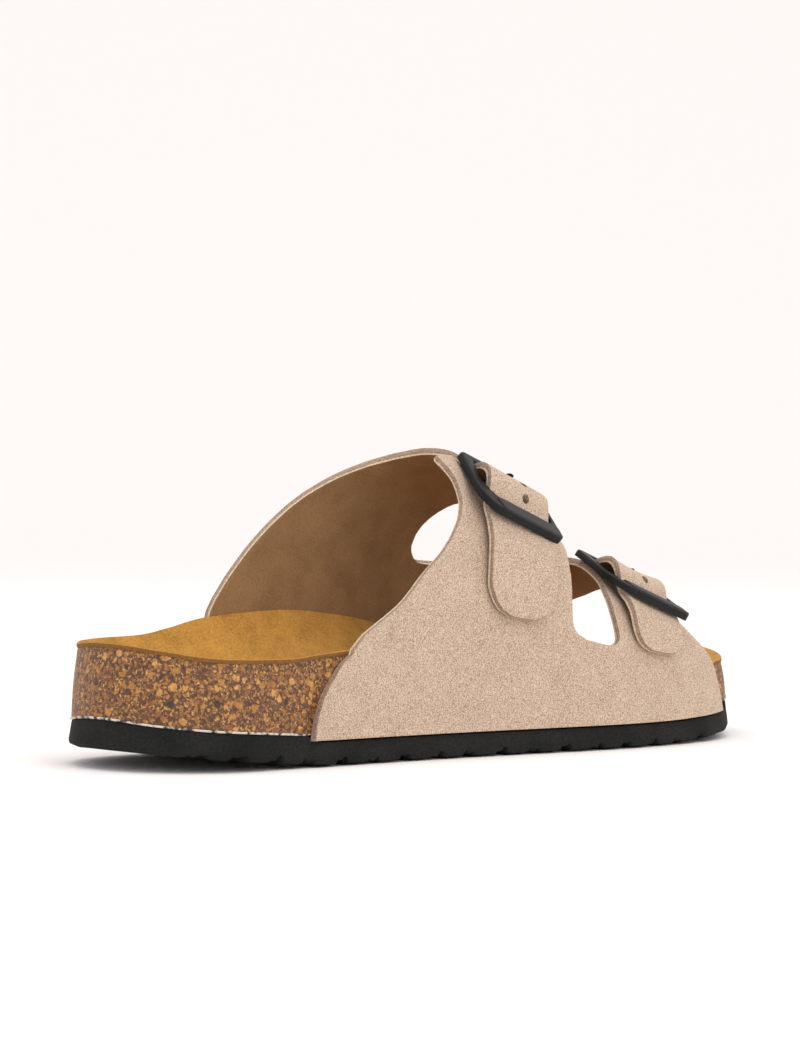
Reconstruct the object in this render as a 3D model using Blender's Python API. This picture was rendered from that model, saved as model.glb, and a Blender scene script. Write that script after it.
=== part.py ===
"""Right-foot slide sandal: two buckled suede straps on a cork footbed with a sheet sole.

The last's own frame is used while the shapes are worked out: "along" runs from the back of
the heel to the toe, "across" is positive to the outer side of the foot, and "up" is height
above the floor. Sizes are in millimetres until a mesh is made. "Girth" counts once round the
foot: 0 at the inner bottom edge, 1 at the inner rim, 2 on the ridge of the instep, 3 at the
outer rim and 4 at the outer bottom edge.
"""
import math
from bisect import bisect_right
from collections import namedtuple

import bmesh
import bpy
from mathutils import Vector

MM = 0.001
GAP = 0.3

# Main sizes
LENGTH = 262.0
HEEL_RADIUS = 33.0
TOE_FROM = 205.0
TOE_TIP_ACROSS = -9.0
TOE_LATERAL_BEND = 1.6
TOE_LATERAL_ROUND = 0.6
TOE_MEDIAL_BEND = 2.0
TOE_MEDIAL_ROUND = 0.54
LEDGE_DROP = 2.1
LEDGE_WIDTH = 3.4
TOE_SPRING = 5.0
TOE_SPRING_START = 182.0
TOE_SPRING_BEND = 1.8
TOE_DISH_BEND = 1.5
LEATHER = 2.3
LINER = 1.5
RIDGE_ACROSS = -2.0
ARCH_POWER = 2.0 / 2.2
SMOOTH_DEG = 35.0

# Sole edge and tread
SOLE_FLARE = 0.3
SOLE_TOP_INSET = 0.5
SOLE_BEVEL = 2.2
WRAP_FLARE = 0.9
WRAP_STAND = 1.1
LEDGE_SLANT = 0.2
TREAD_INSET = 2.4
TREAD_PITCH = 12.0
TREAD_GROOVE = 3.2
TREAD_DEPTH = 1.3
TREAD_WALL = 0.3
TREAD_FROM = 8.0
TREAD_TO = 248.0
CLOSEST_STATION = 0.7
FIRST_TURN_DEG = 6
TURN_DEG = 9
SLOPE_STEP = 0.25
END_MARGIN = 0.02

# Cork side
CORK_FOOT_INSET = 0.4
CORK_RIM_INSET = 2.1
WRAP_INSET = 1.0
WRAP_FROM = 46.5
WRAP_TO = 231.5
WRAP_BLEND = 6.0
DISH_POWER = 2.4
BED_STEP = 9.0
BED_COLUMNS = 10

# Buckle
BUCKLE_LENGTH = 35.0
BUCKLE_WINDOW = 29.4
FAR_BAR = 3.0
WINDOW_RUN = 15.9
OUTER_BAR = 6.4
BUCKLE_RUN = FAR_BAR + WINDOW_RUN + OUTER_BAR
BUCKLE_HEIGHT = 2.2
FAR_CORNER = 2.0
NEAR_CORNER = 6.0
WINDOW_FAR_CORNER = 1.4
WINDOW_NEAR_CORNER = 4.0
CORNER_STEPS = 6
STRAP_HALF = 12.5
STRAP_BULGE = 3.2
BULGE_INSET = 1.6
PIN_WIDTH = 2.4
PIN_FROM_BAR = 1.6
PIN_TOP_SHARE = 0.7
PIN_HEIGHT = 1.7
PIN_LENGTH = 4.2
PIN_STEPS = 3

Width = namedtuple("Width", "along lateral medial")
SOLE_WIDTHS = (
    Width(33.0, 33.0, -33.0),
    Width(60.0, 33.6, -32.2),
    Width(90.0, 35.5, -30.6),
    Width(120.0, 39.2, -31.2),
    Width(150.0, 44.0, -36.2),
    Width(175.0, 46.8, -43.4),
    Width(195.0, 46.4, -46.2),
    Width(205.0, 45.4, -46.4),
)

# Heights of the sheet sole's two faces over the floor, with the heel curled up
Curl = namedtuple("Curl", "along under top")
HEEL_CURL = (
    Curl(0.0, 6.4, 14.5),
    Curl(2.0, 5.9, 13.9),
    Curl(5.0, 5.4, 13.1),
    Curl(10.0, 4.6, 12.4),
    Curl(18.0, 3.7, 11.5),
    Curl(28.0, 2.7, 10.8),
    Curl(38.0, 1.7, 10.1),
    Curl(48.0, 0.6, 9.45),
    Curl(58.0, 0.0, 9.3),
)

# Heights of the footbed over the sheet sole
Bed = namedtuple("Bed", "along lateral_rim medial_rim middle")
BED_HEIGHTS = (
    Bed(0.0, 19.4, 20.0, 11.0),
    Bed(20.0, 19.0, 22.2, 10.6),
    Bed(40.0, 19.8, 24.0, 10.6),
    Bed(66.0, 22.0, 29.4, 12.4),
    Bed(95.0, 23.2, 31.0, 15.0),
    Bed(125.0, 21.5, 28.0, 14.6),
    Bed(155.0, 18.5, 21.6, 11.6),
    Bed(185.0, 14.0, 15.2, 8.8),
    Bed(215.0, 12.2, 12.4, 7.8),
    Bed(240.0, 11.8, 11.8, 8.0),
    Bed(262.0, 11.6, 11.6, 8.4),
)

Ridge = namedtuple("Ridge", "along up")
RIDGE_HEIGHTS = (
    Ridge(40.0, 138.0),
    Ridge(75.0, 119.0),
    Ridge(100.0, 105.0),
    Ridge(115.0, 96.8),
    Ridge(130.0, 88.8),
    Ridge(150.0, 78.4),
    Ridge(165.0, 66.2),
    Ridge(178.0, 56.8),
    Ridge(190.0, 51.6),
    Ridge(205.0, 47.6),
    Ridge(225.0, 43.4),
)

# Inner quarter with the two long straps, down to the strap tails on the outer side
Strap = namedtuple("Strap", "girth instep_rear instep_front toe_rear toe_front")
STRAP_EDGES = (
    Strap(0.00, 52.0, 153.8, 156.4, 222.0),
    Strap(0.50, 58.5, 153.8, 156.4, 221.4),
    Strap(1.00, 66.6, 153.8, 156.4, 221.0),
    Strap(1.07, 73.0, 153.8, 156.4, 221.0),
    Strap(1.19, 86.0, 153.8, 156.4, 221.2),
    Strap(1.365, 102.6, 153.8, 156.4, 221.4),
    Strap(1.38, 104.0, 152.2, 158.4, 221.4),
    Strap(1.41, 106.4, 151.2, 161.4, 221.4),
    Strap(1.46, 110.2, 151.1, 165.6, 221.4),
    Strap(1.53, 115.0, 151.5, 170.0, 221.4),
    Strap(1.64, 121.6, 152.8, 175.0, 221.0),
    Strap(1.80, 127.8, 154.0, 179.6, 219.6),
    Strap(2.00, 130.4, 154.8, 182.0, 212.6),
    Strap(2.15, 129.4, 154.4, 180.4, 205.8),
    Strap(2.30, 127.6, 152.6, 177.6, 201.2),
    Strap(2.40, 126.0, 150.6, 175.8, 198.8),
    Strap(2.50, 124.0, 148.4, 174.8, 197.4),
    Strap(2.58, 121.4, 146.6, 174.4, 196.6),
    Strap(2.70, 119.8, 144.8, 174.0, 196.2),
    Strap(2.80, 118.0, 142.4, 174.0, 195.8),
    Strap(2.84, 117.6, 141.0, 174.4, 195.2),
    Strap(2.88, 119.0, 138.6, 175.6, 193.6),
    Strap(2.90, 120.8, 136.4, 177.4, 191.6),
    Strap(2.915, 124.2, 132.4, 180.4, 188.6),
)

# Outer quarter with its two tabs, which end under the straps
Tab = namedtuple("Tab", "girth instep_rear instep_front toe_rear toe_front")
TAB_EDGES = (
    Tab(2.27, 123.0, 146.0, 181.0, 193.0),
    Tab(2.29, 118.0, 150.6, 177.0, 196.4),
    Tab(2.32, 115.6, 153.6, 174.6, 198.6),
    Tab(2.37, 115.0, 156.0, 173.2, 199.6),
    Tab(2.43, 115.6, 157.2, 172.6, 200.2),
    Tab(2.48, 115.6, 157.2, 172.2, 200.6),
    Tab(2.55, 114.0, 155.9, 171.0, 201.4),
    Tab(2.63, 111.4, 154.0, 169.4, 203.0),
    Tab(2.75, 104.0, 151.8, 168.6, 206.8),
    Tab(2.85, 93.8, 150.4, 168.6, 211.0),
    Tab(2.89, 89.2, 150.0, 168.4, 212.8),
    Tab(2.915, 85.4, 150.8, 167.4, 213.8),
    Tab(2.93, 82.4, 152.4, 165.8, 214.4),
    Tab(2.938, 80.6, 155.0, 163.4, 214.8),
    Tab(3.00, 67.0, 155.0, 163.4, 217.0),
    Tab(3.245, 59.9, 155.0, 163.4, 218.6),
    Tab(3.50, 55.2, 155.0, 163.4, 220.2),
    Tab(4.00, 50.5, 155.0, 163.4, 222.0),
)
STRAP_NOTCH_GIRTH = 1.365
TAB_NOTCH_GIRTH = 2.938
STRAP_STEP_FROM = 1.84
STRAP_STEP_TO = 2.22
STRAP_SINK = 0.3
STRAP_TOP = 2.0 * LEATHER - STRAP_SINK
BETWEEN_STRAPS = 162.0
STRIP_COLUMNS = 7
WALL_GIRTHS = (0.25, 0.75, 3.75)
ARCH_GIRTHS = tuple(1.0 + 0.1 * i for i in range(21))
WINDOW_GIRTHS = tuple(2.21 + 0.025 * i for i in range(24))
CLOSEST_GIRTH = 0.008

# Where the two end bars of each flat buckle lie on its strap
Seat = namedtuple("Seat", "name far_along far_girth near_along near_girth")
BUCKLE_SEATS = (
    Seat("instep", 139.6, 2.274, 133.2, 2.625),
    Seat("front", 190.2, 2.28, 185.1, 2.68),
)


def clamp01(value):
    return min(1.0, max(0.0, value))


def ease(start, end, value):
    t = clamp01((value - start) / (end - start))
    return t * t * (3.0 - 2.0 * t)


def blend(start, end, t):
    return start + (end - start) * t


def curve(rows, at, column):
    """Return a smooth function of one column of a table by another, without overshoot."""
    xs = [getattr(row, at) for row in rows]
    ys = [getattr(row, column) for row in rows]
    steps = [xs[i + 1] - xs[i] for i in range(len(xs) - 1)]
    rises = [(ys[i + 1] - ys[i]) / steps[i] for i in range(len(steps))]
    slopes = [rises[0]]
    for before, after in zip(rises, rises[1:]):
        slopes.append(0.0 if before * after <= 0.0 else 2.0 * before * after / (before + after))
    slopes.append(rises[-1])

    def value(x):
        x = min(xs[-1], max(xs[0], x))
        i = min(len(steps) - 1, max(0, bisect_right(xs, x) - 1))
        h = steps[i]
        t = (x - xs[i]) / h
        return (
            ys[i] * (2 * t**3 - 3 * t**2 + 1)
            + slopes[i] * h * (t**3 - 2 * t**2 + t)
            + ys[i + 1] * (3 * t**2 - 2 * t**3)
            + slopes[i + 1] * h * (t**3 - t**2)
        )

    return value


lateral_width = curve(SOLE_WIDTHS, "along", "lateral")
medial_width = curve(SOLE_WIDTHS, "along", "medial")
sole_under = curve(HEEL_CURL, "along", "under")
sole_top = curve(HEEL_CURL, "along", "top")
lateral_rim = curve(BED_HEIGHTS, "along", "lateral_rim")
medial_rim = curve(BED_HEIGHTS, "along", "medial_rim")
bed_middle = curve(BED_HEIGHTS, "along", "middle")
ridge_up = curve(RIDGE_HEIGHTS, "along", "up")


def edge(along, side):
    """Across position of the sole's outline: a round heel, the table, and a round toe end."""
    width = lateral_width if side > 0 else medial_width
    if along < HEEL_RADIUS:
        reach = HEEL_RADIUS - max(0.0, along)
        return side * math.sqrt(max(0.0, HEEL_RADIUS**2 - reach**2))
    if along > TOE_FROM:
        bend = TOE_LATERAL_BEND if side > 0 else TOE_MEDIAL_BEND
        round_off = TOE_LATERAL_ROUND if side > 0 else TOE_MEDIAL_ROUND
        run = (along - TOE_FROM) / (LENGTH - TOE_FROM)
        share = max(0.0, 1.0 - run**bend) ** round_off
        return blend(TOE_TIP_ACROSS, width(TOE_FROM), share)
    return width(along)


def outline_point(along, side, inset):
    """Point of the outline moved inwards, square to it."""
    low = max(END_MARGIN, along - SLOPE_STEP)
    high = min(LENGTH - END_MARGIN, along + SLOPE_STEP)
    run_across = edge(high, side) - edge(low, side)
    run_along = high - low
    size = math.hypot(run_across, run_along)
    across = edge(along, side) - side * inset * run_along / size
    return across, along + side * inset * run_across / size


def toe_rise(along):
    run = clamp01((along - TOE_SPRING_START) / (LENGTH - TOE_SPRING_START))
    return TOE_SPRING * run**TOE_SPRING_BEND


def lift(along):
    """Height of the sole's underside over the floor: curled heel and toe spring."""
    return sole_under(along) + toe_rise(along)


def plate(along):
    """Height of the sole's upper face, which carries the cork."""
    return sole_top(along) + toe_rise(along)


def wrap(along):
    """1 where the quarters cover the cork's side, 0 at the bare heel and toe."""
    half = 0.5 * WRAP_BLEND
    start = ease(WRAP_FROM - half, WRAP_FROM + half, along)
    return start * (1.0 - ease(WRAP_TO - half, WRAP_TO + half, along))


def rim_up(along, side):
    return plate(along) + (lateral_rim if side > 0 else medial_rim)(along)


def dish_up(along, share):
    """Top of the footbed: share runs from -1 at the inner rim to 1 at the outer rim."""
    heel = clamp01(1.0 - along / HEEL_RADIUS)
    toe = clamp01((along - TOE_FROM) / (LENGTH - TOE_FROM)) ** TOE_DISH_BEND
    end = max(heel, toe)
    out = math.sqrt(share**2 + (1.0 - share**2) * end**2)
    mixed = 0.5 * (1.0 + share)
    rim = blend(rim_up(along, -1), rim_up(along, 1), mixed * mixed * (3.0 - 2.0 * mixed))
    middle = plate(along) + bed_middle(along)
    return blend(middle, rim, out**DISH_POWER)


def edge_point(along, side, inset, height, above):
    """Point inside the outline, above a height that is worked out where the point ends up."""
    across, place = outline_point(along, side, inset)
    return across, place, height(place) + above


def stations(middle_step):
    """Places along the sole, close together round the heel and the toe."""
    heel_turns = [math.radians(angle) for angle in range(FIRST_TURN_DEG, 90, TURN_DEG)]
    toe_turns = [math.radians(angle) for angle in range(TURN_DEG, 90, TURN_DEG)]
    heel = [HEEL_RADIUS * (1.0 - math.cos(turn)) for turn in heel_turns]
    toe = [blend(TOE_FROM, LENGTH, math.sin(turn)) for turn in toe_turns]
    count = round((TOE_FROM - HEEL_RADIUS) / middle_step)
    middle = [blend(HEEL_RADIUS, TOE_FROM, i / count) for i in range(count + 1)]
    return heel + middle + toe


def upper_point(along, girth, offset):
    """Point of the upper's wall, offset outwards from the foot."""
    side = 1 if girth > 2.0 else -1
    turn = 4.0 - girth if side > 0 else girth
    covered = wrap(along)
    foot_across = edge(along, side) - side * (CORK_FOOT_INSET + WRAP_INSET * covered - 1.5 * GAP)
    foot_up = plate(along) - LEDGE_DROP + GAP
    rim_across = edge(along, side) - side * (CORK_RIM_INSET + WRAP_INSET * covered - GAP)
    rim = rim_up(along, side)
    if turn <= 1.0:
        return blend(foot_across, rim_across, turn) + side * offset, along, blend(foot_up, rim, turn)
    angle = 0.5 * math.pi * (turn - 1.0)
    reach = max(0.0, math.cos(angle)) ** ARCH_POWER
    rise = max(0.0, math.sin(angle)) ** ARCH_POWER
    across = blend(RIDGE_ACROSS, rim_across + side * offset, reach)
    return across, along, blend(rim, ridge_up(along) + offset, rise)


def add_object(name, points, faces, material):
    """Make a closed mesh object from points in millimetres and wind its faces outwards."""
    mesh = bpy.data.meshes.new(name)
    mesh.from_pydata([tuple(MM * value for value in point) for point in points], [], faces)
    mesh.materials.append(material)
    shell = bmesh.new()
    shell.from_mesh(mesh)
    bmesh.ops.recalc_face_normals(shell, faces=shell.faces)
    shell.to_mesh(mesh)
    shell.free()
    part = bpy.data.objects.new(name, mesh)
    bpy.context.collection.objects.link(part)
    mesh.shade_smooth()
    mesh.set_sharp_from_angle(angle=math.radians(SMOOTH_DEG))
    return part


def finish(name, colour, roughness):
    material = bpy.data.materials.new(name)
    material.use_nodes = True
    shader = material.node_tree.nodes["Principled BSDF"]
    shader.inputs["Base Color"].default_value = (*colour, 1.0)
    shader.inputs["Roughness"].default_value = roughness
    shader.inputs["Metallic"].default_value = 0.0
    return material


def lofted(rows):
    """Quads between rings of equally many points, with the two end rings capped."""
    points = [point for row in rows for point in row]
    wide = len(rows[0])
    faces = []
    for i in range(len(rows) - 1):
        for j in range(wide):
            right = (j + 1) % wide
            faces.append((i * wide + j, i * wide + right, (i + 1) * wide + right, (i + 1) * wide + j))
    faces.append(tuple(reversed(range(wide))))
    faces.append(tuple((len(rows) - 1) * wide + j for j in range(wide)))
    return points, faces


def tread_relief(along):
    """Depth of the tread grooves, which run right across the sole."""
    if not TREAD_FROM < along < TREAD_TO:
        return 0.0
    from_centre = abs((along - TREAD_FROM) % TREAD_PITCH - 0.5 * TREAD_PITCH)
    return TREAD_DEPTH * clamp01((0.5 * TREAD_GROOVE - from_centre) / (TREAD_WALL * TREAD_GROOVE))


def tread_stations():
    """Places along the outsole: the four edges of each groove, and more round the heel and toe."""
    places = [along for along in stations(TREAD_PITCH) if not HEEL_RADIUS < along < TOE_FROM]
    for i in range(round((TREAD_TO - TREAD_FROM) / TREAD_PITCH)):
        centre = TREAD_FROM + (i + 0.5) * TREAD_PITCH
        for out in (-0.5, TREAD_WALL - 0.5, 0.5 - TREAD_WALL, 0.5):
            places.append(centre + out * TREAD_GROOVE)
    places.sort()
    kept = places[:1]
    for along in places[1:]:
        if along - kept[-1] > CLOSEST_STATION:
            kept.append(along)
    return kept


def build_outsole(material):
    """Sheet sole: bevelled edge, flared side, and a ledge where the quarters come down."""
    rows = []
    for along in tread_stations():
        covered = wrap(along)
        drop = LEDGE_DROP * covered
        flare = SOLE_FLARE + WRAP_FLARE * covered
        top = SOLE_TOP_INSET - WRAP_STAND * covered
        profile = (
            (TREAD_INSET, lift, tread_relief(along)),
            (-flare, lift, SOLE_BEVEL),
            (top, plate, -drop),
            (LEDGE_WIDTH - LEDGE_SLANT, plate, -drop),
            (LEDGE_WIDTH, plate, 0.0),
        )
        outer = [edge_point(along, 1, *corner) for corner in profile]
        inner = [edge_point(along, -1, *corner) for corner in reversed(profile)]
        rows.append(outer + inner)
    return add_object("outsole", *lofted(rows), material)


def bed_rows(step_along, columns):
    """Rows of points over the footbed's top, rim to rim, each row with its place along."""
    rows = []
    for along in stations(step_along):
        inset = CORK_RIM_INSET + WRAP_INSET * wrap(along)
        inner = outline_point(along, -1, inset)
        outer = outline_point(along, 1, inset)
        row = []
        for j in range(columns + 1):
            share = math.sin(0.5 * math.pi * (2.0 * j / columns - 1.0))
            mixed = 0.5 * (1.0 + share)
            across = blend(inner[0], outer[0], mixed)
            row.append((across, blend(inner[1], outer[1], mixed), dish_up(along, share)))
        rows.append((along, row))
    return rows


def build_footbed(material):
    """Cork body: flat underneath, leaning side, dished top with heel cup and arch."""
    rows = []
    for along, top in bed_rows(BED_STEP, BED_COLUMNS):
        inset = CORK_FOOT_INSET + WRAP_INSET * wrap(along)
        outer = edge_point(along, 1, inset, plate, GAP)
        inner = edge_point(along, -1, inset, plate, GAP)
        rows.append([inner] + top + [outer])
    return add_object("footbed", *lofted(rows), material)


def build_insole(material):
    """Suede liner of even thickness, glued over the footbed's top out to its rim."""
    rows = []
    for _, top in bed_rows(BED_STEP, BED_COLUMNS):
        low = [(across, place, up + GAP) for across, place, up in top]
        high = [(across, place, up + GAP + LINER) for across, place, up in reversed(top)]
        rows.append(low + high)
    return add_object("insole", *lofted(rows), material)


def girth_rows(table, extra):
    """Girth values of the mesh rows: those of the table, and more between them on the arch."""
    values = {row.girth for row in table}
    values |= {value for value in extra if table[0].girth < value < table[-1].girth}
    kept = []
    for value in sorted(values):
        if not kept or value - kept[-1] > CLOSEST_GIRTH:
            kept.append(value)
    return kept


def wall_solid(table, extra, notch_test, inner_offset):
    """Closed wall between the edges of a table of strips, with the notch between the strips open."""
    rear = curve(table, "girth", "instep_rear")
    notch_start = curve(table, "girth", "instep_front")
    notch_end = curve(table, "girth", "toe_rear")
    front = curve(table, "girth", "toe_front")
    girths = girth_rows(table, extra)
    wide = 2 * STRIP_COLUMNS + 2
    layers = []
    for girth in girths:
        places = [blend(rear(girth), notch_start(girth), j / STRIP_COLUMNS) for j in range(STRIP_COLUMNS + 1)]
        places += [blend(notch_end(girth), front(girth), j / STRIP_COLUMNS) for j in range(STRIP_COLUMNS + 1)]
        row = []
        for along in places:
            inside = inner_offset(along, girth)
            row.append((upper_point(along, girth, inside), upper_point(along, girth, inside + LEATHER)))
        layers.append(row)
    cells = []
    for i in range(len(girths) - 1):
        for j in range(wide - 1):
            if j == STRIP_COLUMNS and notch_test(0.5 * (girths[i] + girths[i + 1])):
                continue
            cells.append((i * wide + j, i * wide + j + 1, (i + 1) * wide + j + 1, (i + 1) * wide + j))
    return thick_cells(layers, cells)


def thick_cells(layers, cells):
    """Close a sheet of cells whose corners each have an inner and an outer point."""
    corners = [pair for row in layers for pair in row]
    used = sorted({corner for cell in cells for corner in cell})
    place = {corner: 2 * i for i, corner in enumerate(used)}
    points = [point for corner in used for point in corners[corner]]
    faces = []
    edges = {}
    for cell in cells:
        faces.append(tuple(place[corner] for corner in cell))
        faces.append(tuple(place[corner] + 1 for corner in reversed(cell)))
        for first, second in zip(cell, cell[1:] + cell[:1]):
            edges[(first, second)] = True
    for first, second in edges:
        if (second, first) not in edges:
            faces.append((place[second], place[first], place[first] + 1, place[second] + 1))
    return points, faces


def seat_place(seat, along_bar, share):
    """Place along the foot and girth on the strap: share is 0 at the far bar's edge, 1 at the outer's."""
    along = blend(seat.far_along, seat.near_along, share) + along_bar
    return along, blend(seat.far_girth, seat.near_girth, share)


def strap_inside(along, girth):
    """Offset of a strap's inner face: it steps up onto its tab and bulges in the buckle's window."""
    step = (LEATHER - STRAP_SINK) * ease(STRAP_STEP_FROM, STRAP_STEP_TO, girth)
    instep, front = BUCKLE_SEATS
    seat = instep if along < BETWEEN_STRAPS else front
    down = BUCKLE_RUN * (girth - seat.far_girth) / (seat.near_girth - seat.far_girth)
    share = (down - FAR_BAR - BULGE_INSET) / (WINDOW_RUN - 2.0 * BULGE_INSET)
    return step + STRAP_BULGE * math.sin(math.pi * clamp01(share)) ** 2


def build_upper(material):
    """Both quarters with their straps and tabs, joined where a strap lies on its tab."""
    rows = WALL_GIRTHS + ARCH_GIRTHS
    strap_rows = rows + WINDOW_GIRTHS
    straps = wall_solid(STRAP_EDGES, strap_rows, lambda girth: girth > STRAP_NOTCH_GIRTH, strap_inside)
    tabs = wall_solid(TAB_EDGES, rows, lambda girth: girth < TAB_NOTCH_GIRTH, lambda along, girth: 0.0)
    upper = add_object("upper", *straps, material)
    quarter = add_object("outer_quarter_shape", *tabs, material)
    quarter.hide_render = True
    quarter.display_type = "WIRE"
    join = upper.modifiers.new("join where they cross", "BOOLEAN")
    join.operation = "UNION"
    join.object = quarter
    join.solver = "EXACT"
    return [upper, quarter]


def buckle_axes(seat):
    """Middle of the flat frame laid on its strap, and its ways ahead, down the strap and outwards."""

    def on_wall(along_bar, share, offset):
        return Vector(upper_point(*seat_place(seat, along_bar, share), offset))

    far = on_wall(0.0, 0.0, STRAP_TOP)
    near = on_wall(0.0, 1.0, STRAP_TOP)
    down = (near - far).normalized()
    ahead = Vector()
    for end in (0.0, 1.0):
        ahead += on_wall(STRAP_HALF, end, STRAP_TOP) - on_wall(-STRAP_HALF, end, STRAP_TOP)
    ahead = (ahead - down * ahead.dot(down)).normalized()
    out = down.cross(ahead)
    middle = 0.5 * (far + near)
    touching = []
    for way in (-1.0, -0.5, 0.0, 0.5, 1.0):
        for down_strap in (0.0, FAR_BAR, BUCKLE_RUN - OUTER_BAR, BUCKLE_RUN):
            touching.append(on_wall(STRAP_HALF * way, down_strap / BUCKLE_RUN, STRAP_TOP))
        for side_bar in (-0.5 * BUCKLE_LENGTH, -0.5 * BUCKLE_WINDOW, 0.5 * BUCKLE_WINDOW, 0.5 * BUCKLE_LENGTH):
            touching.append(on_wall(side_bar, 0.5 + 0.5 * way, LEATHER))
    rise = max((point - middle).dot(out) for point in touching)
    return middle + out * (rise + GAP), ahead, down, out


def rounded_box(low, high, far_radius, near_radius):
    """Ring of a rectangle whose two far corners and two near corners are rounded differently."""
    corners = (
        (high[0] - near_radius, high[1] - near_radius, near_radius, 0.0),
        (low[0] + near_radius, high[1] - near_radius, near_radius, 90.0),
        (low[0] + far_radius, low[1] + far_radius, far_radius, 180.0),
        (high[0] - far_radius, low[1] + far_radius, far_radius, 270.0),
    )
    ring = []
    for x, y, radius, start in corners:
        for i in range(CORNER_STEPS + 1):
            angle = math.radians(start + 90.0 * i / CORNER_STEPS)
            ring.append((x + radius * math.cos(angle), y + radius * math.sin(angle)))
    return ring


def build_buckle(seat, material):
    """Moulded flat frame on the strap: a narrow far bar, two side bars and a wide outer bar."""
    middle, ahead, down, out = buckle_axes(seat)
    half = 0.5 * BUCKLE_LENGTH
    slot = 0.5 * BUCKLE_WINDOW
    end = 0.5 * BUCKLE_RUN
    outer = rounded_box((-half, -end), (half, end), FAR_CORNER, NEAR_CORNER)
    window = (-slot, FAR_BAR - end), (slot, end - OUTER_BAR)
    inner = rounded_box(*window, WINDOW_FAR_CORNER, WINDOW_NEAR_CORNER)
    rings = []
    for ring, height in ((outer, 0.0), (outer, BUCKLE_HEIGHT), (inner, BUCKLE_HEIGHT), (inner, 0.0)):
        rings.append([tuple(middle + ahead * x + down * y + out * height) for x, y in ring])
    wide = len(outer)
    points = [point for ring in rings for point in ring]
    faces = []
    for i in range(len(rings)):
        after = (i + 1) % len(rings)
        for j in range(wide):
            right = (j + 1) % wide
            faces.append((i * wide + j, i * wide + right, after * wide + right, after * wide + j))
    return add_object("buckle_" + seat.name, points, faces, material)


def build_pin(seat, material):
    """Tip of the tongue, which comes up through a strap hole beside the far bar."""
    half = 0.5 * PIN_WIDTH
    top = PIN_TOP_SHARE * half
    rows = []
    for i in range(PIN_STEPS + 1):
        share = (FAR_BAR + PIN_FROM_BAR + PIN_LENGTH * i / PIN_STEPS) / BUCKLE_RUN
        row = []
        for along_bar, height in ((-half, 0.0), (half, 0.0), (top, PIN_HEIGHT), (-top, PIN_HEIGHT)):
            along, girth = seat_place(seat, along_bar, share)
            row.append(upper_point(along, girth, strap_inside(along, girth) + LEATHER + GAP + height))
        rows.append(row)
    return add_object("pin_" + seat.name, *lofted(rows), material)


def stand_on_floor(parts):
    """Move every mesh so that the origin is under the middle of the part, on the floor."""
    corners = [vertex.co for part in parts for vertex in part.data.vertices]
    low = [min(corner[i] for corner in corners) for i in range(3)]
    high = [max(corner[i] for corner in corners) for i in range(3)]
    shift = (-0.5 * (low[0] + high[0]), -0.5 * (low[1] + high[1]), -low[2])
    for part in parts:
        for vertex in part.data.vertices:
            for i in range(3):
                vertex.co[i] += shift[i]
    return shift


for leftover in list(bpy.data.objects):
    bpy.data.objects.remove(leftover, do_unlink=True)

suede = finish("taupe_suede", (0.61, 0.46, 0.33), 0.95)
cork = finish("cork", (0.21, 0.11, 0.05), 0.7)
liner = finish("ochre_suede", (0.52, 0.28, 0.05), 0.95)
sheet = finish("black_sheet_sole", (0.016, 0.016, 0.017), 0.75)
moulded = finish("black_moulding", (0.02, 0.021, 0.023), 0.5)

made = [build_outsole(sheet), build_footbed(cork), build_insole(liner)]
made += build_upper(suede)
for buckle_seat in BUCKLE_SEATS:
    made.append(build_buckle(buckle_seat, moulded))
    made.append(build_pin(buckle_seat, moulded))
stand_on_floor(made)
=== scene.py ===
import math
from bisect import bisect_right

import bpy
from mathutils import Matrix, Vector


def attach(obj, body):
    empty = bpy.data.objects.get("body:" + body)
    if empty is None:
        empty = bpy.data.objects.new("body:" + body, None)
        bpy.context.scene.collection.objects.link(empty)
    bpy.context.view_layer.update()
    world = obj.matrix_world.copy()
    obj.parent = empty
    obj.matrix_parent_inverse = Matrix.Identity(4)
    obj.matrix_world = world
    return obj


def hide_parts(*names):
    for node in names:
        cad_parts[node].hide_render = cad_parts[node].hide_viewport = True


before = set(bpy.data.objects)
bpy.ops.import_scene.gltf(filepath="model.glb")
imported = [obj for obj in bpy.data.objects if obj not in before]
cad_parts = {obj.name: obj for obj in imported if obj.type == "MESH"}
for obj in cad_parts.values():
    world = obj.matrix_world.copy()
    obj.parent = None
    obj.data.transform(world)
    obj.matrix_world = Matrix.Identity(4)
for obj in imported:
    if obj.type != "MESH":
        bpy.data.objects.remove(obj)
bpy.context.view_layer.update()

# Outsole
# A sheet of black foamed rubber about 9 mm thick, cut to the foot's outline and ground to a bevel at
# its walking edge. It curls up at the heel and toe, has cross bars of tread, and is cemented on.
MM = 0.001
ACROSS_TO_ROW = -0.187
ALONG_TO_ROW = -130.737
SOLE_LENGTH = 262.0
HEEL_RADIUS = 33.0
TOE_FROM = 205.0
TOE_TIP_ACROSS = -9.0
TOE_ROUNDS = {1: (1.6, 0.6), -1: (2.0, 0.54)}
SOLE_WIDTHS = (
    (33.0, 33.0, -33.0), (60.0, 33.6, -32.2), (90.0, 35.5, -30.6), (120.0, 39.2, -31.2),
    (150.0, 44.0, -36.2), (175.0, 46.8, -43.4), (195.0, 46.4, -46.2), (205.0, 45.4, -46.4),
)
HEEL_CURL = (
    (0.0, 6.4, 14.5), (2.0, 5.9, 13.9), (5.0, 5.4, 13.1), (10.0, 4.6, 12.4), (18.0, 3.7, 11.5),
    (28.0, 2.7, 10.8), (38.0, 1.7, 10.1), (48.0, 0.6, 9.45), (58.0, 0.0, 9.3),
)
TOE_SPRING = 5.0
TOE_SPRING_FROM = 182.0
TOE_SPRING_BEND = 1.8
SOLE_STEP = 0.8
SLOPE_STEP = 0.25
END_MARGIN = 0.02
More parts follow.
